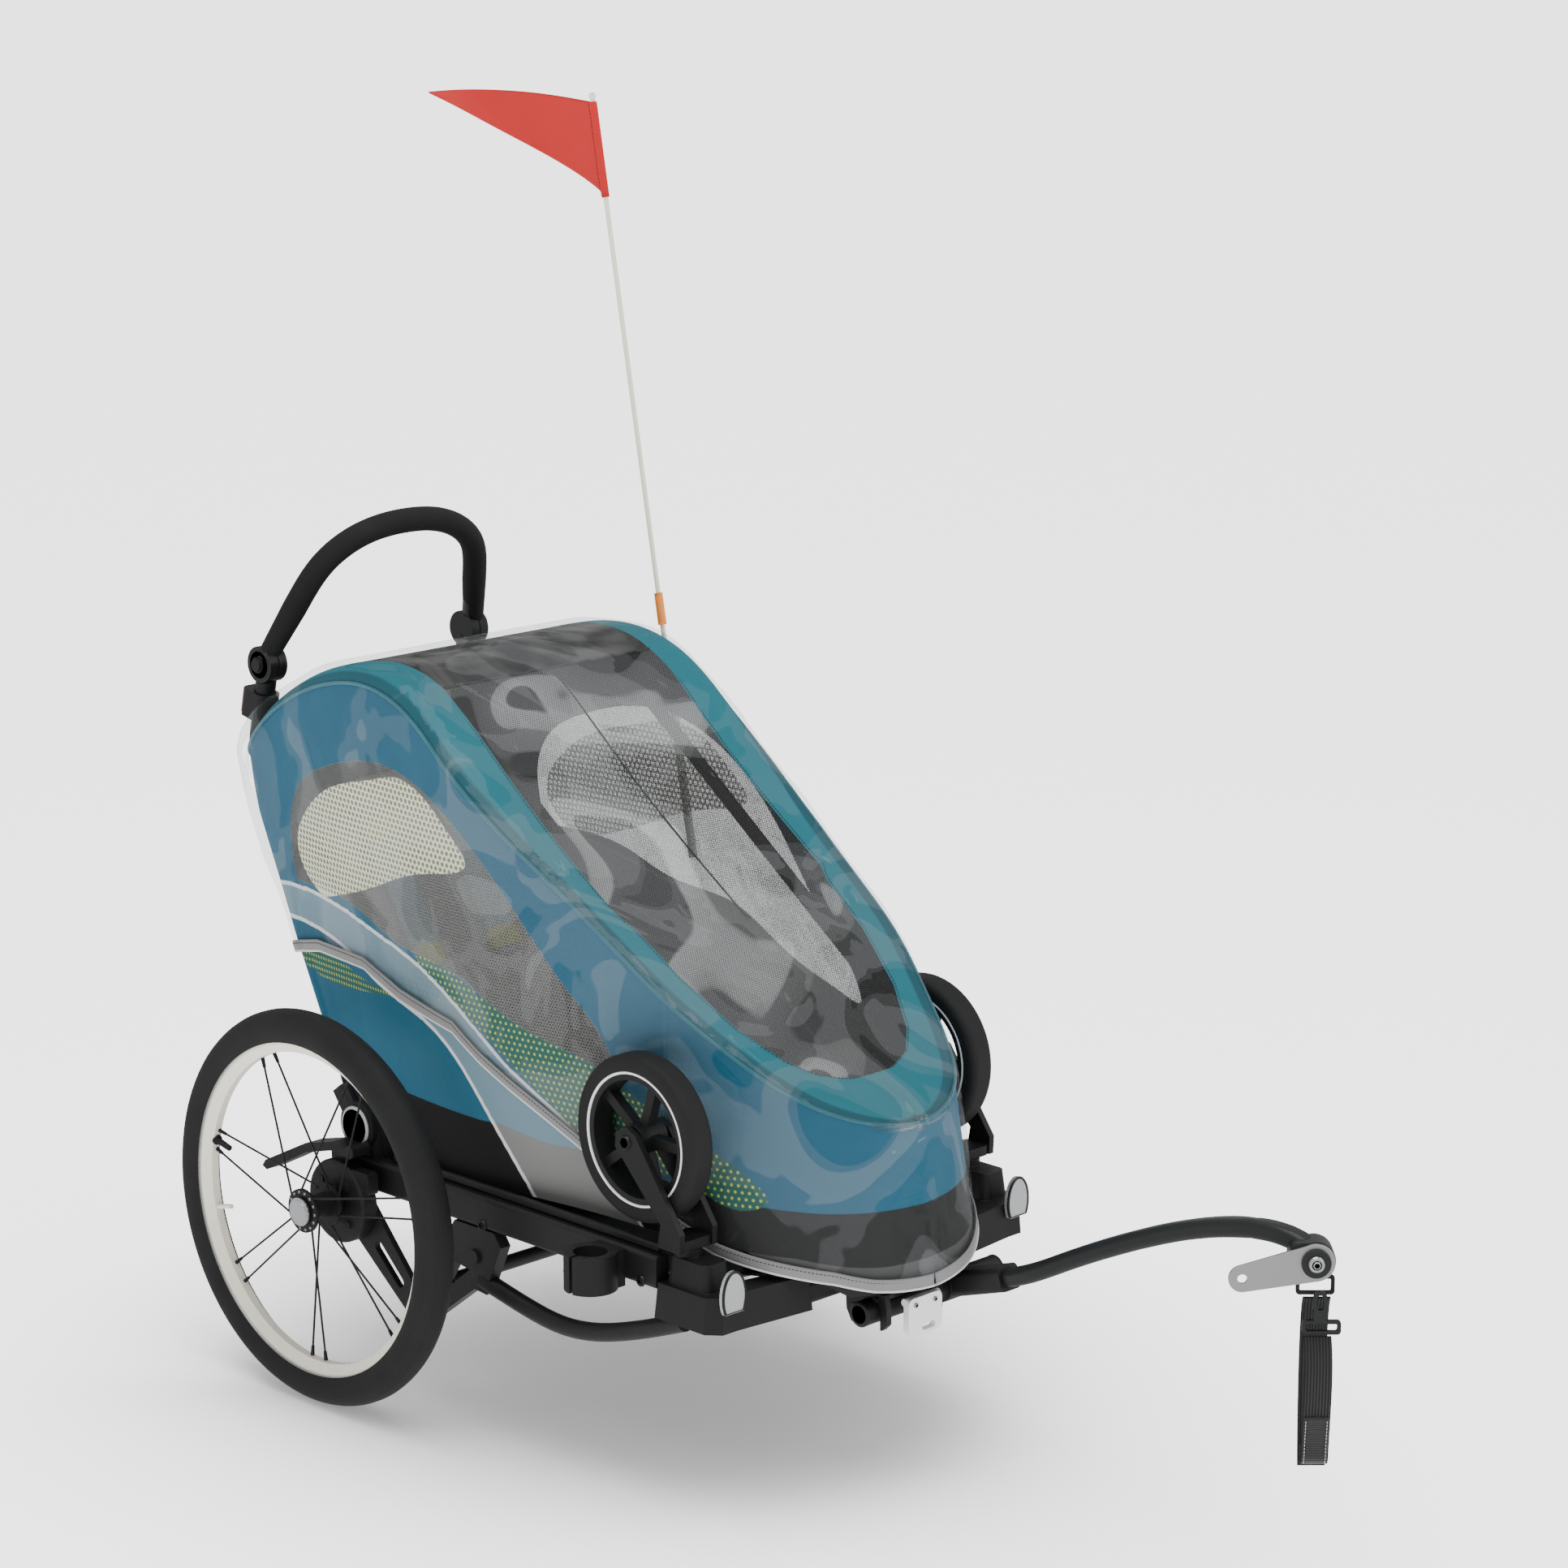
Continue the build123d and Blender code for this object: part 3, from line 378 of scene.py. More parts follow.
def tyre_rubber():
    s = Mat("tyre_rubber_fine", (0.012, 0.012, 0.012), 0.7, Specular_IOR_Level=0.3)
    s.set(s.b, "Base Color", s.mix(s.noise(20, 4), (0.008, 0.008, 0.0083), (0.015, 0.015, 0.0155)))
    fine = s.noise(500, 3)
    s.set(s.b, "Normal", s.bump(fine, 0.25, 0.0006))
    return s.m


def prism():
    s = Mat("reflector_prism", (0.78, 0.79, 0.8), 0.12, 0.35)
    cell = s.n("TexVoronoi", props={"feature": "F1"}, Vector=s.place(), Scale=420.0, Randomness=0.1)
    s.set(s.b, "Base Color", s.mix(cell, (0.6, 0.61, 0.62), (0.24, 0.25, 0.26)))
    s.set(s.b, "Normal", s.bump(cell, 0.5, 0.0012))
    s.set(s.b, "Coat Weight", 0.8)
    return s.m


def flag_cloth():
    s = Mat("flag_red_cloth", (0.46, 0.014, 0.014), 0.7, Specular_IOR_Level=0.25)
    s.set(s.b, "Base Color", s.mix(s.noise(10, 3), (0.42, 0.011, 0.011), (0.5, 0.017, 0.016)))
    s.set(s.b, "Normal", s.bump(s.noise(700, 2), 0.2, 0.0004))
    return s.m


def webbing():
    s = Mat("webbing_ribbed", (0.014, 0.014, 0.014), 0.7)
    uv = s.place("UV")
    rib = s.n("TexWave", props={"wave_type": "BANDS", "bands_direction": "Y"}, Vector=uv, Scale=95.0)
    twill = s.n("TexWave", props={"wave_type": "BANDS", "bands_direction": "DIAGONAL"}, Vector=uv,
                Scale=220.0)
    s.set(s.b, "Base Color", s.mix(rib, (0.004, 0.004, 0.004), (0.028, 0.028, 0.028)))
    s.set(s.b, "Normal", s.bump(s.math("ADD", rib, s.math("MULTIPLY", twill, 0.4)), 0.8, 0.0014))
    return s.m


def cabin_cloth():
    s = Mat("cabin_cloth", (0.02, 0.14, 0.26), 0.7, Specular_IOR_Level=0.3)
    uv = s.place("UV")
    patch = s.noise(7, 4)
    wave_a = s.n("TexWave", props={"wave_type": "BANDS", "bands_direction": "X"}, Vector=uv, Scale=150.0)
    wave_b = s.n("TexWave", props={"wave_type": "BANDS", "bands_direction": "Y"}, Vector=uv, Scale=150.0)
    weave = s.math("MULTIPLY", s.math("ADD", wave_a, wave_b), 0.5)
    blue = s.mix(patch, (0.006, 0.075, 0.135), (0.010, 0.105, 0.175))
    black_cloth = s.mix(weave, (0.004, 0.004, 0.0043), (0.009, 0.009, 0.0095))
    c = s.mix(s.step(s.fact("line")), black_cloth, blue)
    # front lower panel, dark grey, lighter along its lower border
    front = s.mix(s.band(s.fact("border"), 9), (0.018, 0.018, 0.0185), (0.065, 0.065, 0.065))
    c = s.mix(s.math("MULTIPLY", s.step(s.fact("nose")), s.step(s.math("MULTIPLY", s.fact("line"), -1.0))),
              c, front)
    # green band with yellow dots
    dots = s.lattice(0.0085)
    green = s.mix(s.step(s.math("SUBTRACT", 0.2, dots), 0.05), (0.018, 0.10, 0.085), (0.40, 0.45, 0.07))
    c = s.mix(s.step(s.fact("green")), c, green)
    # side window: lining behind fine net, coarse pale net above
    net = s.lattice(0.0042)
    holes = s.step(s.math("SUBTRACT", 0.26, net), 0.05)
    grey_net = s.mix(holes, (0.27, 0.265, 0.255), (0.16, 0.16, 0.155))
    c = s.mix(s.step(s.fact("pane")), c, grey_net)
    hexes = s.lattice(0.0082)
    eye = s.step(s.math("SUBTRACT", 0.33, hexes), 0.06)
    c = s.mix(s.step(s.fact("hexnet")), c, s.mix(eye, (0.70, 0.71, 0.52), (0.40, 0.41, 0.29)))
    # stripe with white piping
    stripe = s.math("MULTIPLY", s.step(s.fact("low_stripe")),
                    s.step(s.math("MULTIPLY", s.fact("high_stripe"), -1.0)))
    tint = s.mix(s.step(s.fact("line")), (0.20, 0.20, 0.195), (0.15, 0.25, 0.31))
    tint = s.mix(s.math("MULTIPLY", weave, 0.35), tint, (0.12, 0.13, 0.13))
    c = s.mix(s.math("MULTIPLY", stripe, 0.9), c, tint)
    edge = s.math("MAXIMUM", s.band(s.fact("low_stripe"), 2.6), s.band(s.fact("high_stripe"), 2.6))
    c = s.mix(edge, c, (0.60, 0.61, 0.62))
    # deck: teal border with painted shade along the seam, dark roof, net window with painted reflections
    # and painted shade
    teal = s.mix(patch, (0.005, 0.145, 0.19), (0.013, 0.195, 0.245))
    # painted shade: the teal is darker within 17 mm of the seam where the deck meets the wall
    teal_with_painted_seam_shade = s.mix(s.step(s.math("SUBTRACT", s.fact("seam"), 17.0), 2.0), (0.004, 0.085, 0.115), teal)
    c = s.mix(s.step(s.fact("seam")), c, teal_with_painted_seam_shade)
    # painted reflections and painted interior shade: light and dark noise blotches in the deck window's
    # colour
    reflection_blot_noise = s.noise(3.1, 2.0, rough=0.3, distort=1.2)
    painted_reflection_and_shade = s.ramp(reflection_blot_noise, [(0.0, 0.008), (0.435, 0.010), (0.44, 0.07), (0.505, 0.10), (0.509, 0.30),
                         (0.56, 0.36), (0.565, 0.085), (0.7, 0.06)])
    fine = s.lattice(0.0034)
    weft = s.step(s.math("SUBTRACT", 0.30, fine), 0.06)
    deck_net_with_painted_reflections = s.mix(weft, painted_reflection_and_shade, s.mix(0.62, painted_reflection_and_shade, (0.012, 0.012, 0.012)))
    roof_dark = s.mix(s.ramp(s.noise(6, 2, distort=2.0), [(0.4, 0.0), (0.6, 1.0)]), (0.010, 0.010, 0.0105),
                      (0.085, 0.084, 0.082))
    opening = s.step(s.fact("opening"))
    inner = s.mix(s.step(s.fact("roof_end"), 1.2), roof_dark, deck_net_with_painted_reflections)
    c = s.mix(opening, c, inner)
    s.set(s.b, "Base Color", c)
    s.set(s.b, "Roughness", 0.7)
    folds = s.bump(s.noise(11, 3, distort=0.6), 0.35, 0.008)
    s.set(s.b, "Normal", s.bump(weave, 0.05, 0.0003, folds))
    # light gets through the nets
    glass = s.n("BsdfTransparent", Color=(0.95, 0.95, 0.95, 1))
    pane = s.math("MULTIPLY", s.step(s.fact("pane")), s.math("SUBTRACT", 1.0, stripe))
    clear_side = s.math("MULTIPLY", pane, s.mix_value(holes, 0.62, 0.9))
    clear_side = s.math("MULTIPLY", clear_side, s.math("SUBTRACT", 1.0,
                                                       s.math("MULTIPLY", s.step(s.fact("hexnet")),
                                                               s.mix_value(eye, 0.85, 0.15))))
    clear_deck = s.math("MULTIPLY", s.math("MULTIPLY", opening, s.step(s.fact("roof_end"), 1.2)),
                        s.mix_value(weft, 0.12, 0.4))
    through = s.n("MixShader", Fac=s.math("MAXIMUM", clear_side, clear_deck), i1=s.b.outputs[0], i2=glass)
    s.set(s.out, "Surface", through)
    return s.m


def film():
    s = Mat("clear_film_wavy", (1, 1, 1), 0.04)
    wave = s.bump(s.noise(7.5, 2.5, distort=1.2), 0.8, 0.02)
    shine = s.n("BsdfGlossy", Color=(1, 1, 1, 1), Roughness=0.08, Normal=wave)
    clear = s.n("BsdfTransparent", Color=(0.965, 0.972, 0.975, 1))
    # painted reflections: noise patches of whitish diffuse haze on the clear film, over a faint even haze
    haze_and_painted_reflection = s.n("BsdfDiffuse", Color=(0.82, 0.85, 0.87, 1))
    painted_reflection_steps = [(0.445, 0.003), (0.450, 0.028), (0.535, 0.028), (0.540, 0.07)]
    painted_reflection_patches = s.ramp(s.noise(5.5, 2, distort=1.6), painted_reflection_steps)
    body = s.n("MixShader", Fac=painted_reflection_patches, i1=clear, i2=haze_and_painted_reflection)
    edge = s.n("LayerWeight", out=0, Blend=0.2, Normal=wave)
    share = s.mix_value(edge, 0.012, 0.24)
    s.set(s.out, "Surface", s.n("MixShader", Fac=share, i1=body, i2=shine))
    return s.m


rubber = tyre_rubber()
prismatic = prism()
flag_red = flag_cloth()
ribbed = webbing()
cabin_mat = cabin_cloth()
film_mat = film()

dress = {
    black: ["front_crossbar", "fabric_tracks", "side_reflectors", "accessory_clamp", "swing_arm_left",
            "swing_arm_right", "brake_drum_left", "brake_drum_right", "brake_pedal", "caster_fork_left",
            "caster_fork_right", "caster_rim_left", "caster_rim_right", "adjuster_button_left",
            "adjuster_button_right", "fold_slider_left", "fold_slider_right", "roll_bar_feet",
            "harness_buckle", "tow_sleeve", "strap_ring", "hub_left", "hub_right", "spokes_left",
            "spokes_right"],
    coat: ["side_rails", "lower_tubes", "push_frame", "roll_bar", "floor_pan", "axle_brackets",
           "tow_cradle"],
    satin: ["handlebar"],
    arm_grey: ["tow_arm", "snap_hook"],
    cream: ["rim_left", "rim_right"],
    silver: ["axle_cap_left", "axle_cap_right"],
    steel: ["hitch_plate"],
    white: ["release_lever", "flag_pocket"],
    rubber: ["tyre_left", "tyre_right", "caster_tyre_left", "caster_tyre_right"],
    prismatic: ["front_reflectors"],
    pole_cream: ["flag_pole"],
}
for mat, names in dress.items():
    for name in names:
        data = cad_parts[name].data
        data.materials.clear()
        data.materials.append(mat)

# ---- cabin shape ------------------------------------------------------------------------------
plan_mid = [(-309, 0), (-309, 60), (-308, 110), (-303, 148), (-284, 180), (-250, 193), (-200, 200),
            (-100, 213), (60, 226), (150, 231), (240, 226),
            (330, 213), (400, 204), (470, 193), (541, 168), (597, 142), (643, 108), (669, 74), (686, 35),
            (692, 0)]
plan_low = [(-309, 0), (-309, 60), (-308, 110), (-303, 148), (-284, 180), (-250, 193), (-200, 200),
            (-100, 214), (60, 226), (150, 231), (240, 226),
            (330, 213), (400, 206), (470, 204), (540, 199), (597, 186), (645, 150), (676, 115), (699, 70),
            (712, 0)]
roof_line = [(-309, 728), (-250, 792), (-170, 845), (-72, 881), (5, 888), (75, 869), (160, 807), (302, 698),
             (458, 592), (580, 506),
             (660, 458), (692, 441), (720, 428)]
roof_fine = smooth_line(roof_line, 400)
rear_line = [(284, -40), (400, -104), (531, -190), (586, -222), (640, -256), (700, -293), (735, -308),
             (900, -308)]
hem_side = [(-330, 512), (-186, 531), (-48, 529), (61, 505), (160, 487), (203, 458), (249, 433), (312, 401),
            (420, 347), (530, 300), (597, 284),
            (645, 273), (670, 261), (690, 254), (712, 250)]


def roof_z(x):
    return np.interp(x, roof_fine[:, 0], roof_fine[:, 1])


def along(table, n):
    # even steps along the smooth curve
    fine = smooth_line(table, 4000)
    t = np.linspace(0, 1, n)
    return fine[np.clip((t * 3999).astype(int), 0, 3999)]


def shell(n, k_wall, k_deck, out=0.0, low=None, ripple=None):
    # grid of half the cabin: rear middle round to the nose tip one way,
    # lower edge up the wall and over the deck to the middle the other way
    mid, bottom = along(plan_mid, n), along(plan_low, n)
    drop = np.interp(mid[:, 0], [-320, 142, 226, 320, 700], [18, 22, 14, 7, 7])
    top_z = roof_z(mid[:, 0]) - drop
    z0 = np.interp(mid[:, 0], [-320, -20, 40, 560, 620, 655],
                   [286, 286, 300, 300, 278, 248]) if low is None else low(mid[:, 0])
    half_mid = np.interp(np.linspace(-320, 60, 200), [p[0] for p in plan_mid[4:9]],
                         [p[1] for p in plan_mid[4:9]])
    rows = []
    for t in np.linspace(0, 1, k_wall):
        z = z0 + (top_z - z0) * t
        f = np.clip((z - 246) / 234, 0, 1)[:, None]
        p = bottom * (1 - f) + mid * f
        x_rear = np.interp(z, [a for a, _ in rear_line], [b for _, b in rear_line])
        pull = np.clip((60 - p[:, 0]) / 369, 0, None)
        x = p[:, 0] + (x_rear + 309) * pull
        wide = np.interp(p[:, 0], np.linspace(-320, 60, 200), half_mid)
        wide_new = np.interp(x, np.linspace(-320, 60, 200), half_mid)
        y = p[:, 1] * np.where(p[:, 0] < 60, wide_new / wide, 1)
        rows.append(np.stack([x, y, z], 1))
    wall = np.array(rows)  # k_wall, n, 3
    rim = wall[-1]
    spine_t = np.linspace(0, 1, n)
    spine_x = -300 + (690 + 300) * (0.5 * spine_t + 0.5 * (rim[:, 0] - rim[0, 0]) / (rim[-1, 0] - rim[0,
            0]))
    deck = []
    for t in np.linspace(0, 1, k_deck + 1)[1:]:
        q = t ** 1.25
        x = rim[:, 0] * (1 - q) + spine_x * q
        y = rim[:, 1] * (1 - q)
        round_ = np.clip(1 - (rim[:, 1] * q) / 30, 0, 1)
        z = roof_z(x) - drop * (1 - np.sqrt(np.clip(1 - round_ ** 2, 0, 1))) - 5 * np.sin(np.pi * np.clip(q,
                0, 1)) * np.clip((x - 60) / 200, 0, 1)
        deck.append(np.stack([x, y, z], 1))
    grid = np.concatenate([wall, np.array(deck)], 0)
    if out or ripple is not None:
        du, dv = np.gradient(grid, axis=1), np.gradient(grid, axis=0)
        normal = np.cross(dv, du)
        normal /= np.maximum(np.linalg.norm(normal, axis=2), 1e-6)[:, :, None]
        centre = np.array([150, 0, 500])
        flip = np.sign(np.sum(normal * (grid - centre), axis=2))
        normal *= np.where(flip == 0, 1, flip)[:, :, None]
        push = out + (ripple(grid) if ripple is not None else 0)
        push = push * np.ones(grid.shape[:2])
        grid = grid + normal * push[:, :, None]
        grid[:, 0, 1] = 0
        grid[:, -1, 1] = 0
        grid[-1, :, 1] = 0
    return grid


def both_halves(grid):
    # the mirrored half continues over the spine, so that the result is one grid across the whole width
    other = grid[::-1].copy()
    other[:, :, 1] *= -1
    return np.concatenate([grid, other[1:]], 0)


def signed(points_xz, curve):
    # distance from the curve, positive above it
    fine = smooth_line(curve, 600)
    flat = points_xz.reshape(-1, 2)
    best = np.full(len(flat), 1e9)
    for i in range(0, 600, 3):
        best = np.minimum(best, np.hypot(flat[:, 0] - fine[i, 0], flat[:, 1] - fine[i, 1]))
    order = np.argsort(fine[:, 0])
    above = flat[:, 1] - np.interp(flat[:, 0], fine[order, 0], fine[order, 1])
    return (best * np.sign(above)).reshape(points_xz.shape[:-1])


def inside(points_xz, corners):
    # signed distance, positive inside the closed outline
    line = smooth_line(list(corners) + [corners[0]], 500)
    flat = points_xz.reshape(-1, 2)
    best = np.full(len(flat), 1e9)
    hit = np.zeros(len(flat), bool)
    for a, b in zip(line[:-1], line[1:]):
        d = b - a
        t = np.clip(((flat - a) @ d) / max(d @ d, 1e-9), 0, 1)
        best = np.minimum(best, np.hypot(*(flat - a - t[:, None] * d).T))
        cross = (a[1] > flat[:, 1]) != (b[1] > flat[:, 1])
        with np.errstate(divide="ignore", invalid="ignore"):
            hit ^= cross & (flat[:, 0] < (b[0] - a[0]) * (flat[:, 1] - a[1]) / (b[1] - a[1]) + a[0])
    return np.where(hit, best, -best).reshape(points_xz.shape[:-1])


upper = [(-235, 586), (-209, 589), (-91, 588), (-1, 569), (106, 538), (183, 495), (253, 446), (317, 409),
         (365, 376), (414, 337), (457, 289), (470, 270)]
lower = [(-215, 552), (-179, 552), (-70, 538), (24, 501), (125, 469), (173, 433), (217, 383), (259, 332),
         (300, 277), (310, 262)]
window = [(-165, 600), (-175, 683), (-159, 717), (-95, 755), (-27, 774), (39, 777), (113, 756), (179, 716),
          (256, 645), (335, 561), (400, 492), (405, 478), (366, 480), (302, 494), (237, 515), (157, 549),
          (91, 558), (40, 566), (-30, 590), (-100, 600)]
pale_net = [(-103, 590), (-150, 620), (-162, 652), (-142, 690), (-91, 728), (6, 757), (55, 767), (112, 749),
            (152, 718), (181, 687), (110, 661), (1, 623)]
green_top = [(-190, 520), (-149, 519), (-71, 516), (18, 503), (60, 530), (91, 558), (157, 549), (237, 515),
             (302, 494), (366, 480), (445, 447), (532, 411), (602, 349), (590, 345), (537, 356), (470, 372),
             (400, 378), (350, 392), (300, 424), (240, 462), (160, 506),
             (90, 500), (24, 494), (-132, 493)]
line_z = [(-330, 392), (59, 381), (203, 378), (230, 380), (300, 370), (357, 372), (534, 358), (590, 351),
          (650, 345), (712, 340)]
pane_w = [(-320, 150), (-200, 166), (74, 168), (105, 170), (160, 168), (302, 167), (370, 166), (393, 157),
          (458, 150), (529, 129), (580, 98), (605, 70), (620, 30), (624, 0), (720, -80)]

n_side, n_wall, n_deck = 260, 90, 70
half = shell(n_side, n_wall, n_deck)
full = both_halves(half)
x, y, z = full[..., 0], full[..., 1], full[..., 2]
xz = full[..., [0, 2]]
wall_part = np.zeros(full.shape[:2])
wall_part[:n_wall] = 1
wall_part[-n_wall:] = 1
far = -60.0
seam = np.zeros(full.shape[:2])
rim_points = half[n_wall - 1]
for j in range(full.shape[0]):
    jj = min(j, full.shape[0] - 1 - j)
    d = np.linalg.norm(half[jj] - rim_points, axis=1)
    seam[j] = d if jj >= n_wall else -d
side_ok = (wall_part > 0) & (np.abs(y) > 60)
half_width = np.interp(x, [p[0] for p in pane_w], [p[1] for p in pane_w])
opening = np.where(wall_part > 0, far, half_width - np.abs(y))
facts = {
    "seam": seam + 0.5,
    "line": z - np.interp(x, [p[0] for p in line_z], [p[1] for p in line_z]),
    "nose": x - 500,
    "border": z - np.interp(x, [500, 640, 700], [300, 285, 268]),
    "green": np.where(side_ok, inside(xz, green_top), far),
    "pane": np.where(side_ok, inside(xz, window), far),
    "hexnet": np.where(side_ok, inside(xz, pale_net), far),
    "high_stripe": np.where(side_ok & (x < 475), signed(xz, upper), 300.0),
    "low_stripe": np.where(side_ok & (x < 475), signed(xz, lower), -300.0),
    "opening": opening,
    "roof_end": x - window_x,
}
round_plan = along(plan_mid, n_side)
plan_run = np.concatenate([[0], np.cumsum(np.linalg.norm(np.diff(round_plan, axis=0), axis=1))])
roof_run = np.concatenate([[0], np.cumsum(np.linalg.norm(np.diff(roof_fine, axis=0), axis=1))])
uv_u = np.where(wall_part > 0, plan_run[None, :] * np.sign(y + 0.001), y)
uv_v = np.where(wall_part > 0, z, np.interp(x, roof_fine[:, 0], roof_run))
cabin_uv = np.stack([uv_u, uv_v], 2).reshape(-1, 2) / 1000
cabin = sheet_grid("cabin_cover_cloth", full, cabin_mat, soft=True, facts=facts, uv=cabin_uv)
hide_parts("side_panel_left", "side_panel_right", "front_panel", "deck", "rear_panel")


# seam piping and stitching round the deck
rim_loop = np.concatenate([rim_points[8:], rim_points[8:-1][::-1] * [1, -1, 1]])
push_out = rim_loop + np.stack([np.zeros(len(rim_loop)), np.sign(rim_loop[:, 1]) * 1.0,
                                np.full(len(rim_loop), 1.0)], 1)
tube("deck_seam_piping", push_out, 2.2, piping_teal, soft=True, sides=8)
wx = np.concatenate([np.linspace(-240, 380, 60), np.linspace(380, 610, 60), np.linspace(610, 624, 20)])
wy = np.interp(wx, [p[0] for p in pane_w], [p[1] for p in pane_w]).clip(0)


def deck_height(px, py):
    dist = (half[n_wall:, :, 0] - px) ** 2 + (half[n_wall:, :, 1] - abs(py)) ** 2
    return half[n_wall:, :, 2].flat[int(np.argmin(dist))]


win_line = np.array([(a, b + 3, deck_height(a, b + 3) + 0.6) for a, b in zip(wx, wy)])
win_loop = np.concatenate([win_line, win_line[::-1] * [1, -1, 1]])
win_loop[:, 2] = np.convolve(np.pad(win_loop[:, 2], 3, "edge"), np.ones(7) / 7, "valid")
stitches("window_edge_stitches", win_loop, 5.0, 3.2, 0.45, thread_dark, soft=True)
cross = np.array([(window_x, b, deck_height(window_x, b) + 0.8) for b in np.linspace(-166, 166, 60)])
tube("roof_panel_seam", cross, 1.5, thread_dark, soft=True, sides=8)
middle = np.array([(a, 0, deck_height(a, 0) + 0.4) for a in np.linspace(80, 420, 60)])
middle[:, 2] = np.convolve(np.pad(middle[:, 2], 3, "edge"), np.ones(7) / 7, "valid")
tube("window_middle_seam", middle, 1.1, thread_dark, soft=True, sides=8)


# ---- clear rain cover with its hem ------------------------------------------------------------
def ripples(g):
    gx, gy, gz = g[..., 0], g[..., 1], g[..., 2]
    wide = 2.2 * np.sin(gx / 61 + gz / 43) * np.sin(gy / 57 + gz / 71 + 1.3)
    folds = 1.6 * np.sin(gx / 23 + 1.7 * np.sin(gz / 90)) * np.clip((gz - 500) / 200, 0, 1)
    rear = 9 * np.clip((-120 - gx) / 90, 0, 1)
    rear = rear * np.clip((gz - 560) / 60, 0, 1) * np.clip((860 - gz) / 60, 0, 1)
    return wide + folds + rear


def hem_z(px):
    return np.interp(px, [p[0] for p in hem_side], [p[1] for p in hem_side])


skin = shell(200, 60, 50, out=5.5, low=hem_z, ripple=ripples)
cover_full = both_halves(skin)
cover = sheet_grid("rain_cover_film", cover_full, film_mat, soft=True)
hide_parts("rain_cover")
hem_line = skin[0, 12:]
hem_next = skin[2, 12:]
up = hem_next - hem_line
up /= np.linalg.norm(up, axis=1)[:, None]


def hem_row(height, out):
    # a line along the hem, so far up the film and so far outwards
    return hem_line + up * height + np.array([0, out, 0])


strip_rows = [hem_row(h, o) for h, o in ((-8, 0.2), (-7.4, 1.4), (-4, 2.0), (0, 1.8), (4, 1.8), (6, 0.9))]
for tag, flip in (("left", 1), ("right", -1)):
    band = np.array(strip_rows) * [1, flip, 1]
    hem = sheet_grid(f"cover_hem_{tag}", band, hem_grey, soft=True, thick=1.2)
    rowline = hem_row(2.0, 2.6) * [1, flip, 1]
    stitches(f"cover_hem_stitches_{tag}", rowline, 4.6, 2.8, 0.5, thread_dark, soft=True)
    edge = hem_row(-8, 1.0) * [1, flip, 1]
    tube(f"cover_hem_cord_{tag}", edge, 1.6, thread_light, soft=True, sides=8)

# ---- seat, harness ----------------------------------------------------------------------------
lean = np.array([-0.5117, 0, 0.8592])
face = np.array([0.8592, 0, 0.5117])
foot = np.array([-20.0, 0, 285.0])


def pillow(name, centre, x, y, z, size, mat, body="chassis", power=4.0, quilt=0.0, n=36, soft=True):
    # rounded, slightly domed pad; z is its thickness axis
    x, y, z = (np.asarray(v, float) / np.linalg.norm(v) for v in (x, y, z))
    grid = []
    for i in range(n + 1):
        phi = math.pi * (i / n - 0.5)
        line = []
        for j in range(2 * n):
            th = math.pi * j / n
            c, s = math.cos(phi), math.sin(phi)
            e = 2 / power
            sg = lambda v, w: math.copysign(abs(v) ** w, v)
            u = sg(c, e * 0.7) * sg(math.cos(th), e)
            v = sg(c, e * 0.7) * sg(math.sin(th), e)
            w = sg(s, 0.9)
            dent = quilt * (abs(math.sin(6 * u)) * abs(math.sin(5 * v)) - 0.5) * max(s, 0) if quilt else 0
            flat = x * u * size[0] / 2 + y * v * size[1] / 2
            line.append(np.asarray(centre, float) + flat + z * (w * size[2] / 2 + dent))
        grid.append(line)
    grid = np.array(grid)
    o = mesh(name, grid.reshape(-1, 3), quads(n + 1, 2 * n, wrap_k=True), mat, body, soft, uv=lengths(grid))
    return o


side = (0, 1, 0)
back = pillow("seat_back_pad", foot + lean * 250 + face * 27, side, lean, face, (286, 416, 27), seat_cloth,
              quilt=2.5)
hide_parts("seat_back")
base = pillow("seat_base_pad", (200, 0, 291.4), (1, 0, 0), side, (0, 0, 1), (268, 298, 38), seat_cloth,
              quilt=2.5)
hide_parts("seat_base")
for tag, s in (("left", 1), ("right", -1)):
    pad = pillow(f"harness_pad_{tag}", foot + lean * 300 + face * 46 + np.array([0, s * 62, 0]), side, lean,
                 face, (47, 218, 11), pad_blue, quilt=0.8)
    if s > 0:
        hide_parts("harness_pads")
    tip = pillow(f"harness_tip_{tag}", foot + lean * 385 + face * 48 + np.array([0, s * 62, 0]), side, lean,
                 face, (50, 40, 12), pad_yellow)
    low_tip = pillow(f"harness_low_{tag}", foot + lean * 212 + face * 48 + np.array([0, s * 62, 0]), side,
                     lean, face, (50, 30, 12), pad_yellow)

# ---- handle foam, catches and knobs -----------------------------------------------------------
handle_half = [(knob_x, 171.5, knob_z), (-226, 143.5, 930.5), (-206, 122.5, 974.5), (-194, 78.5, 1005.5),
               (-188, 0, 1019)]
handle_line = smooth_line([(a, -b, c) for a, b, c in handle_half] + handle_half[-2::-1], 160)
foam_r, foam_end_r, foam_taper = 15.4, 12.6, 24
thick = np.full(160, foam_r)
thick[:foam_taper] = np.linspace(foam_end_r, foam_r, foam_taper)
thick[-foam_taper:] = np.linspace(foam_r, foam_end_r, foam_taper)
grip = tube("handle_foam", handle_line[5:-5], thick[5:-5], foam, "handle", sides=28)
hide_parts("handle_grip")
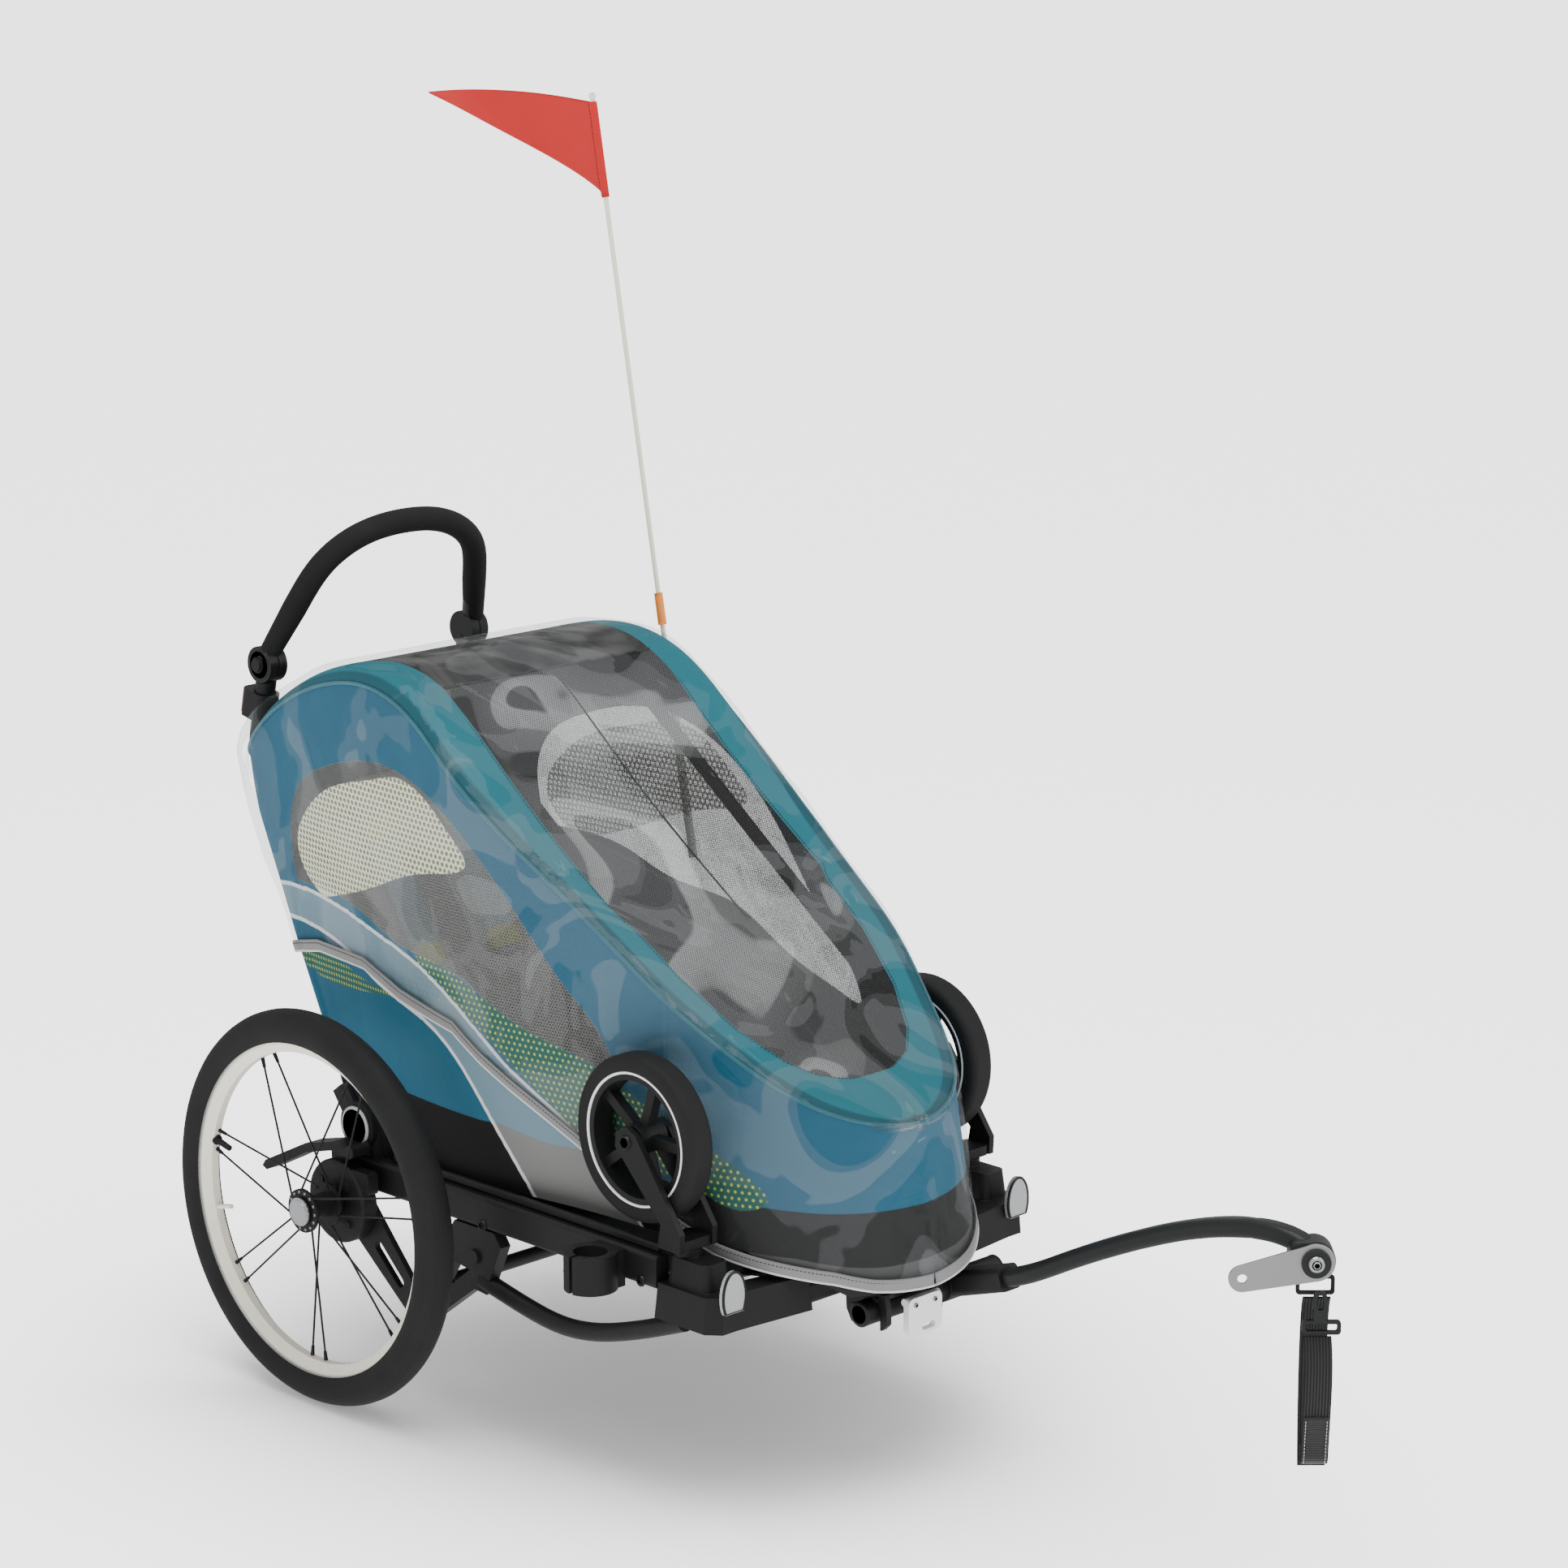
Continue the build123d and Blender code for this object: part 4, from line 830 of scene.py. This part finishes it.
# along the push frame leg, and square to it towards the rear
run = np.array([0.21155, 0, 0.97737])
rear = np.array([-0.97737, 0, 0.21155])
for tag, s in (("left", 1), ("right", -1)):
    at = np.array([knob_x, s * knob_y, knob_z])
    ring = cylinder(at - np.array([0, s * 1.5, 0]), (0, s, 0), 19.5, 2.2, 40, 0.8)
    parts_mesh(f"knob_ring_{tag}", [ring], satin, "handle")
    c = np.array([-288, s * 163.5, 735]) + run * 62
    parts_mesh(f"catch_face_{tag}", [block(c + rear * 27.2, run, side, rear, (33, 24, 1.6), 0.6)],
               red_plastic, f"slider_{tag}")

# ---- wheels: nipples, rim edge, tread ---------------------------------------------------------
for tag, s in (("left", 1), ("right", -1)):
    body = f"wheel_{tag}"
    near_y, mid_y = s * hub_y, s * wheel_y
    nipples = []
    for i in range(spoke_count):
        turn = 360 / spoke_count
        pair = 1 if i % 2 else -1
        fa, ra = math.radians(turn * i), math.radians(turn * i + pair * turn * 1.35)
        head = np.array([nipple_r * math.cos(ra), near_y, wheel_r + nipple_r * math.sin(ra)])
        foot_at = np.array([23 * math.cos(fa), near_y + (18 if pair > 0 else -18),
                            wheel_r + flange_r * math.sin(fa)])
        d = (foot_at - head) / np.linalg.norm(foot_at - head)
        nipples.append(cylinder(head - d * 1.0, d, 2.6, 13, 10, 0.6, top=2.0))
        nipples.append(cylinder(foot_at - d * 3, d, 2.4, 6, 10, 0.5))
    parts_mesh(f"spoke_nipples_{tag}", nipples, black, body)
    turns = np.linspace(0, 2 * math.pi, ring_points, endpoint=False)
    for k, side_y in (("out", s * 13.2), ("in", -s * 13.2)):
        circle = np.stack([rim_edge_r * np.cos(turns), np.full(ring_points, mid_y + side_y),
                           wheel_r + rim_edge_r * np.sin(turns)], 1)
        tube(f"rim_edge_{k}_{tag}", circle, 2.4, ring_grey, body, sides=8, closed=True, up=(0, 1, 0))
    ribs = ((239.6, 12), (239.6, -12), (242.9, 3.2), (242.9, -3.2), (216, 18), (216, -18))
    for k, (r, dy) in enumerate(ribs):
        circle = np.stack([r * np.cos(turns), np.full(ring_points, mid_y + dy),
                           wheel_r + r * np.sin(turns)], 1)
        tube(f"tyre_rib_{k}_{tag}", circle, 1.0 if k < 4 else 0.9, rubber, body, sides=6, closed=True,
             up=(0, 1, 0))
    a = math.radians(180 - 13)
    valve = np.array([math.cos(a), 0, math.sin(a)])
    root = np.array([0, mid_y, wheel_r]) + valve * 193
    parts_mesh(f"valve_cap_{tag}", [cylinder(root - valve * 2, -valve, 4.2, 26, 16, 1.0, top=3.6),
                                    cylinder(root, -valve, 6.5, 4, 16, 0.8)], black, body)
    rivets = []
    for b in np.linspace(0, 2 * math.pi, spoke_count, endpoint=False):
        rivet_at = (flange_r * math.cos(b), near_y + s * 20.2, wheel_r + flange_r * math.sin(b))
        rivets.append(cylinder(rivet_at, (0, s, 0), 1.8, 0.9, 8, 0.3))
    parts_mesh(f"flange_rivets_{tag}", rivets, steel, body)
    # stowed wheel
    for k, side_y in (("out", 15.6), ("in", -15.6)):
        circle = np.stack([caster_x + caster_ring_r * np.cos(turns),
                           np.full(ring_points, s * caster_y + side_y),
                           caster_z + caster_ring_r * np.sin(turns)], 1)
        tube(f"stroller_ring_{k}_{tag}", circle, 1.7, white_ring, f"caster_wheel_{tag}", sides=8,
             closed=True, up=(0, 1, 0))
    lugs = []
    bolts = []
    for out in (1, -1):
        lug_at = (caster_x, s * caster_y + out * 19.5, caster_z)
        lugs.append(cylinder(lug_at, (0, out, 0), 12, 3.0, 30, 0.8))
        bolt_at = (caster_x, s * caster_y + out * 29.2, caster_z)
        bolts.append(cylinder(bolt_at, (0, out, 0), 8.5, 3.0, 6, 0.6))
    parts_mesh(f"stroller_hub_cap_{tag}", lugs, satin, f"caster_wheel_{tag}")
    parts_mesh(f"stroller_axle_bolt_{tag}", bolts, satin, f"caster_{tag}")

# ---- bolts and rivets on the frame, reflector rims and lenses ---------------------------------
fixings = []
for s in (-1, 1):
    for bx, bz in ((232, 262), (392, 268), (462, 262), (505, 262), (-20, 262)):
        fixings.append(cylinder((bx, s * 257.6, bz), (0, s, 0), 6.5, 2.6, 24, 0.8))
        fixings.append(cylinder((bx, s * 260.0, bz), (0, s, 0), 3.2, 1.0, 6, 0.3))
    fixings.append(cylinder((121, s * 267.4, 132), (0, s, 0), 10, 3.5, 6, 0.8))
parts_mesh("frame_bolts", fixings, satin)
for tag, s in (("left", 1), ("right", -1)):
    leg_rivet = cylinder((-275, s * 176.2, 792), (0, s, 0), 3.5, 1.6, 16, 0.5)
    parts_mesh(f"leg_rivet_{tag}", [leg_rivet], steel, "push_frame")
for tag, s in (("left", 1), ("right", -1)):
    turns = np.radians(np.linspace(-38, 218, 60))
    bezel = np.stack([np.full(60, 633.6), s * 236 + 17 * np.cos(turns), 270 + 29 * np.sin(turns)], 1)
    tube(f"front_reflector_rim_{tag}", bezel, 1.7, satin, sides=8, closed=True, up=(1, 0, 0))
parts_mesh("side_reflector_lens_right", [cylinder((4, -260, 333), (0, -1, 0), 25, 1.8, 48, 1.2)], prismatic)
parts_mesh("side_reflector_lens_left", [cylinder((4, 260, 333), (0, 1, 0), 25, 1.8, 48, 1.2)], prismatic)

# ---- towing arm details -----------------------------------------------------------------------
bolt = np.array([math.sqrt(0.5), -math.sqrt(0.5), 0])
plate = np.array([math.sqrt(0.5), math.sqrt(0.5), 0])
parts_mesh("hitch_bolt_head", [cylinder(hitch + bolt * 22.8, bolt, 8.5, 4.5, 32, 1.0),
                               cylinder(hitch + bolt * 27.0, bolt, 4.4, 1.4, 6, 0.4)], silver, "drawbar")
z_up = np.array([0, 0, 1.0])
top_at = hitch - z_up * 47
strand = []
for u, v in [(0, 1.5), (-2.6, -1), (-9.6, 12 - strap_drop), (-9.9, 15 - strap_drop)]:
    strand.append(top_at + bolt * u + z_up * v)
for a in np.linspace(math.pi, 2 * math.pi, 14)[1:-1]:
    strand.append(top_at + bolt * (4 + 13.8 * math.cos(a)) + z_up * (15 - strap_drop + 13.8 * math.sin(a)))
for u, v in [(17.9, 15 - strap_drop), (17.7, -40), (15, -37.5)]:
    strand.append(top_at + bolt * u + z_up * v)
path = smooth_line(strand, 150)
band = np.array([path + plate * (4 + w) for w in np.linspace(-15, 15, 9)])
strap = sheet_grid("strap_webbing", band.transpose(1, 0, 2), ribbed, "strap", thick=2.4)
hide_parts("safety_strap")
sewn = path[70:112]
sew_band = np.array([sewn + plate * (4 + w) + bolt * 2.0 for w in np.linspace(-13.5, 13.5, 7)])
sheet_grid("strap_sewn_patch", sew_band.transpose(1, 0, 2), web_black, "strap", thick=1.6)
rows = []
for off in (-11.5, 11.5):
    rows.append(sewn + plate * (4 + off) + bolt * 3.2)
for k, line in enumerate(rows):
    stitches(f"strap_stitches_{k}", line, 4.2, 2.6, 0.4, thread_light, "strap")
lever_bolts = [cylinder((688.2, dy, 213), (1, 0, 0), 3.2, 1.6, 16, 0.5) for dy in (2, 34)]
parts_mesh("lever_rivets", lever_bolts, steel, "release_lever")
ends = [cylinder((650, -50, 206), (0, -1, 0), 15.4, 3, 36, 1.5),
        cylinder((650, 176, 206), (0, 1, 0), 15.4, 3, 36, 1.5)]
parts_mesh("tow_tube_end_caps", ends, satin, "drawbar")

# ---- flag -------------------------------------------------------------------------------------
pole_low, pole_top = np.array([75.0, 238, 600]), np.array([-98.0, 238, 1533])
pole_dir = (pole_top - pole_low) / np.linalg.norm(pole_top - pole_low)
hoist_top, hoist_low = pole_top - pole_dir * 7, pole_top - pole_dir * 125
cols, rows_n = 70, 26
flag = np.zeros((cols, rows_n, 3))
for i in range(cols):
    u = i / (cols - 1)
    top_z = hoist_top[2] + 14 * math.sin(math.pi * u * 0.55) - 18 * u ** 2
    top_x = hoist_top[0] - 316 * u
    low_z = hoist_low[2] + (hoist_top[2] - 6 - hoist_low[2]) * (u ** 0.78)
    low_x = hoist_low[0] - (316 + hoist_low[0] - hoist_top[0]) * u
    for j in range(rows_n):
        v = j / (rows_n - 1)
        wave = 5.5 * math.sin(u * 7 + v * 1.2) * u * (1 - 0.4 * u)
        flag[i, j] = (top_x * (1 - v) + low_x * v, 238 + wave, min(top_z * (1 - v) + low_z * v, 1536))
cloth_flag = sheet_grid("pennant_cloth", flag, flag_red, "flag", thick=0.6)
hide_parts("pennant")
tube("pennant_sleeve", np.linspace(hoist_low, hoist_top, 12), 4.9, flag_red, "flag", sides=16)
sleeve_line = np.linspace(hoist_low + [-7, -1.2, 0], hoist_top + [-7, -1.2, 0], 40)
stitches("pennant_stitches", sleeve_line, 4, 2.6, 0.35, thread_dark, "flag")
tube("flag_collar", np.linspace(pole_low + pole_dir * 288, pole_low + pole_dir * 328, 8), 5.4, orange,
     "flag", sides=20)

# ---- stage, camera, light ---------------------------------------------------------------------
bpy.ops.mesh.primitive_plane_add(size=60, location=(0, 0, 0))
floor = bpy.context.object
floor.name = "studio_floor"
ground = Mat("studio_white", (0.9, 0.9, 0.9), 0.9, Emission_Color=(1, 1, 1, 1))
# painted contact shadow: the floor's glow is dimmed by ambient occlusion near the trailer
painted_contact_shadow = ground.n("AmbientOcclusion", out=1, props={"samples": 12}, Distance=0.6)
floor_glow_with_painted_shadow = ground.n("MapRange", Value=painted_contact_shadow, From_Min=0.55, From_Max=1.0, To_Min=0.25, To_Max=2.4)
ground.set(ground.b, "Emission Strength", floor_glow_with_painted_shadow)
ground.set(ground.b, "Base Color", ground.mix(ground.noise(3, 3), (0.88, 0.88, 0.88), (0.92, 0.92, 0.92)))
floor.data.materials.append(ground.m)
floor.visible_glossy = False

cam_data = bpy.data.cameras.new("camera")
cam = bpy.data.objects.new("camera", cam_data)
bpy.context.scene.collection.objects.link(cam)
cam.location = row((3938.5, -3462.5, 1941.0))
cam.rotation_euler = (math.radians(90 - 13.2), 0, math.radians(45))
cam_data.sensor_width = 36
cam_data.lens = 100.43
bpy.context.scene.camera = cam

world = bpy.data.worlds.new("studio")
world.use_nodes = True
world.node_tree.nodes["Background"].inputs[0].default_value = (1, 1, 1, 1)
world.node_tree.nodes["Background"].inputs[1].default_value = 0.55
bpy.context.scene.world = world


def lamp(name, place, target, size, power):
    data = bpy.data.lights.new(name, "AREA")
    data.shape = "RECTANGLE"
    data.size, data.size_y = size
    data.energy = power
    o = bpy.data.objects.new(name, data)
    bpy.context.scene.collection.objects.link(o)
    o.location = place
    o.rotation_euler = (Vector(target) - Vector(place)).to_track_quat("-Z", "Y").to_euler()
    return o


lamp("key_top", (0.4, -0.6, 4.2), (0, 0, 0.4), (3.2, 3.2), 88)
lamp("side_strip", (3.4, 1.6, 2.6), (0.1, 0, 0.5), (0.9, 3.0), 38)
lamp("fill_left", (-2.6, -3.2, 2.2), (0, 0, 0.5), (1.6, 2.4), 22).visible_glossy = False
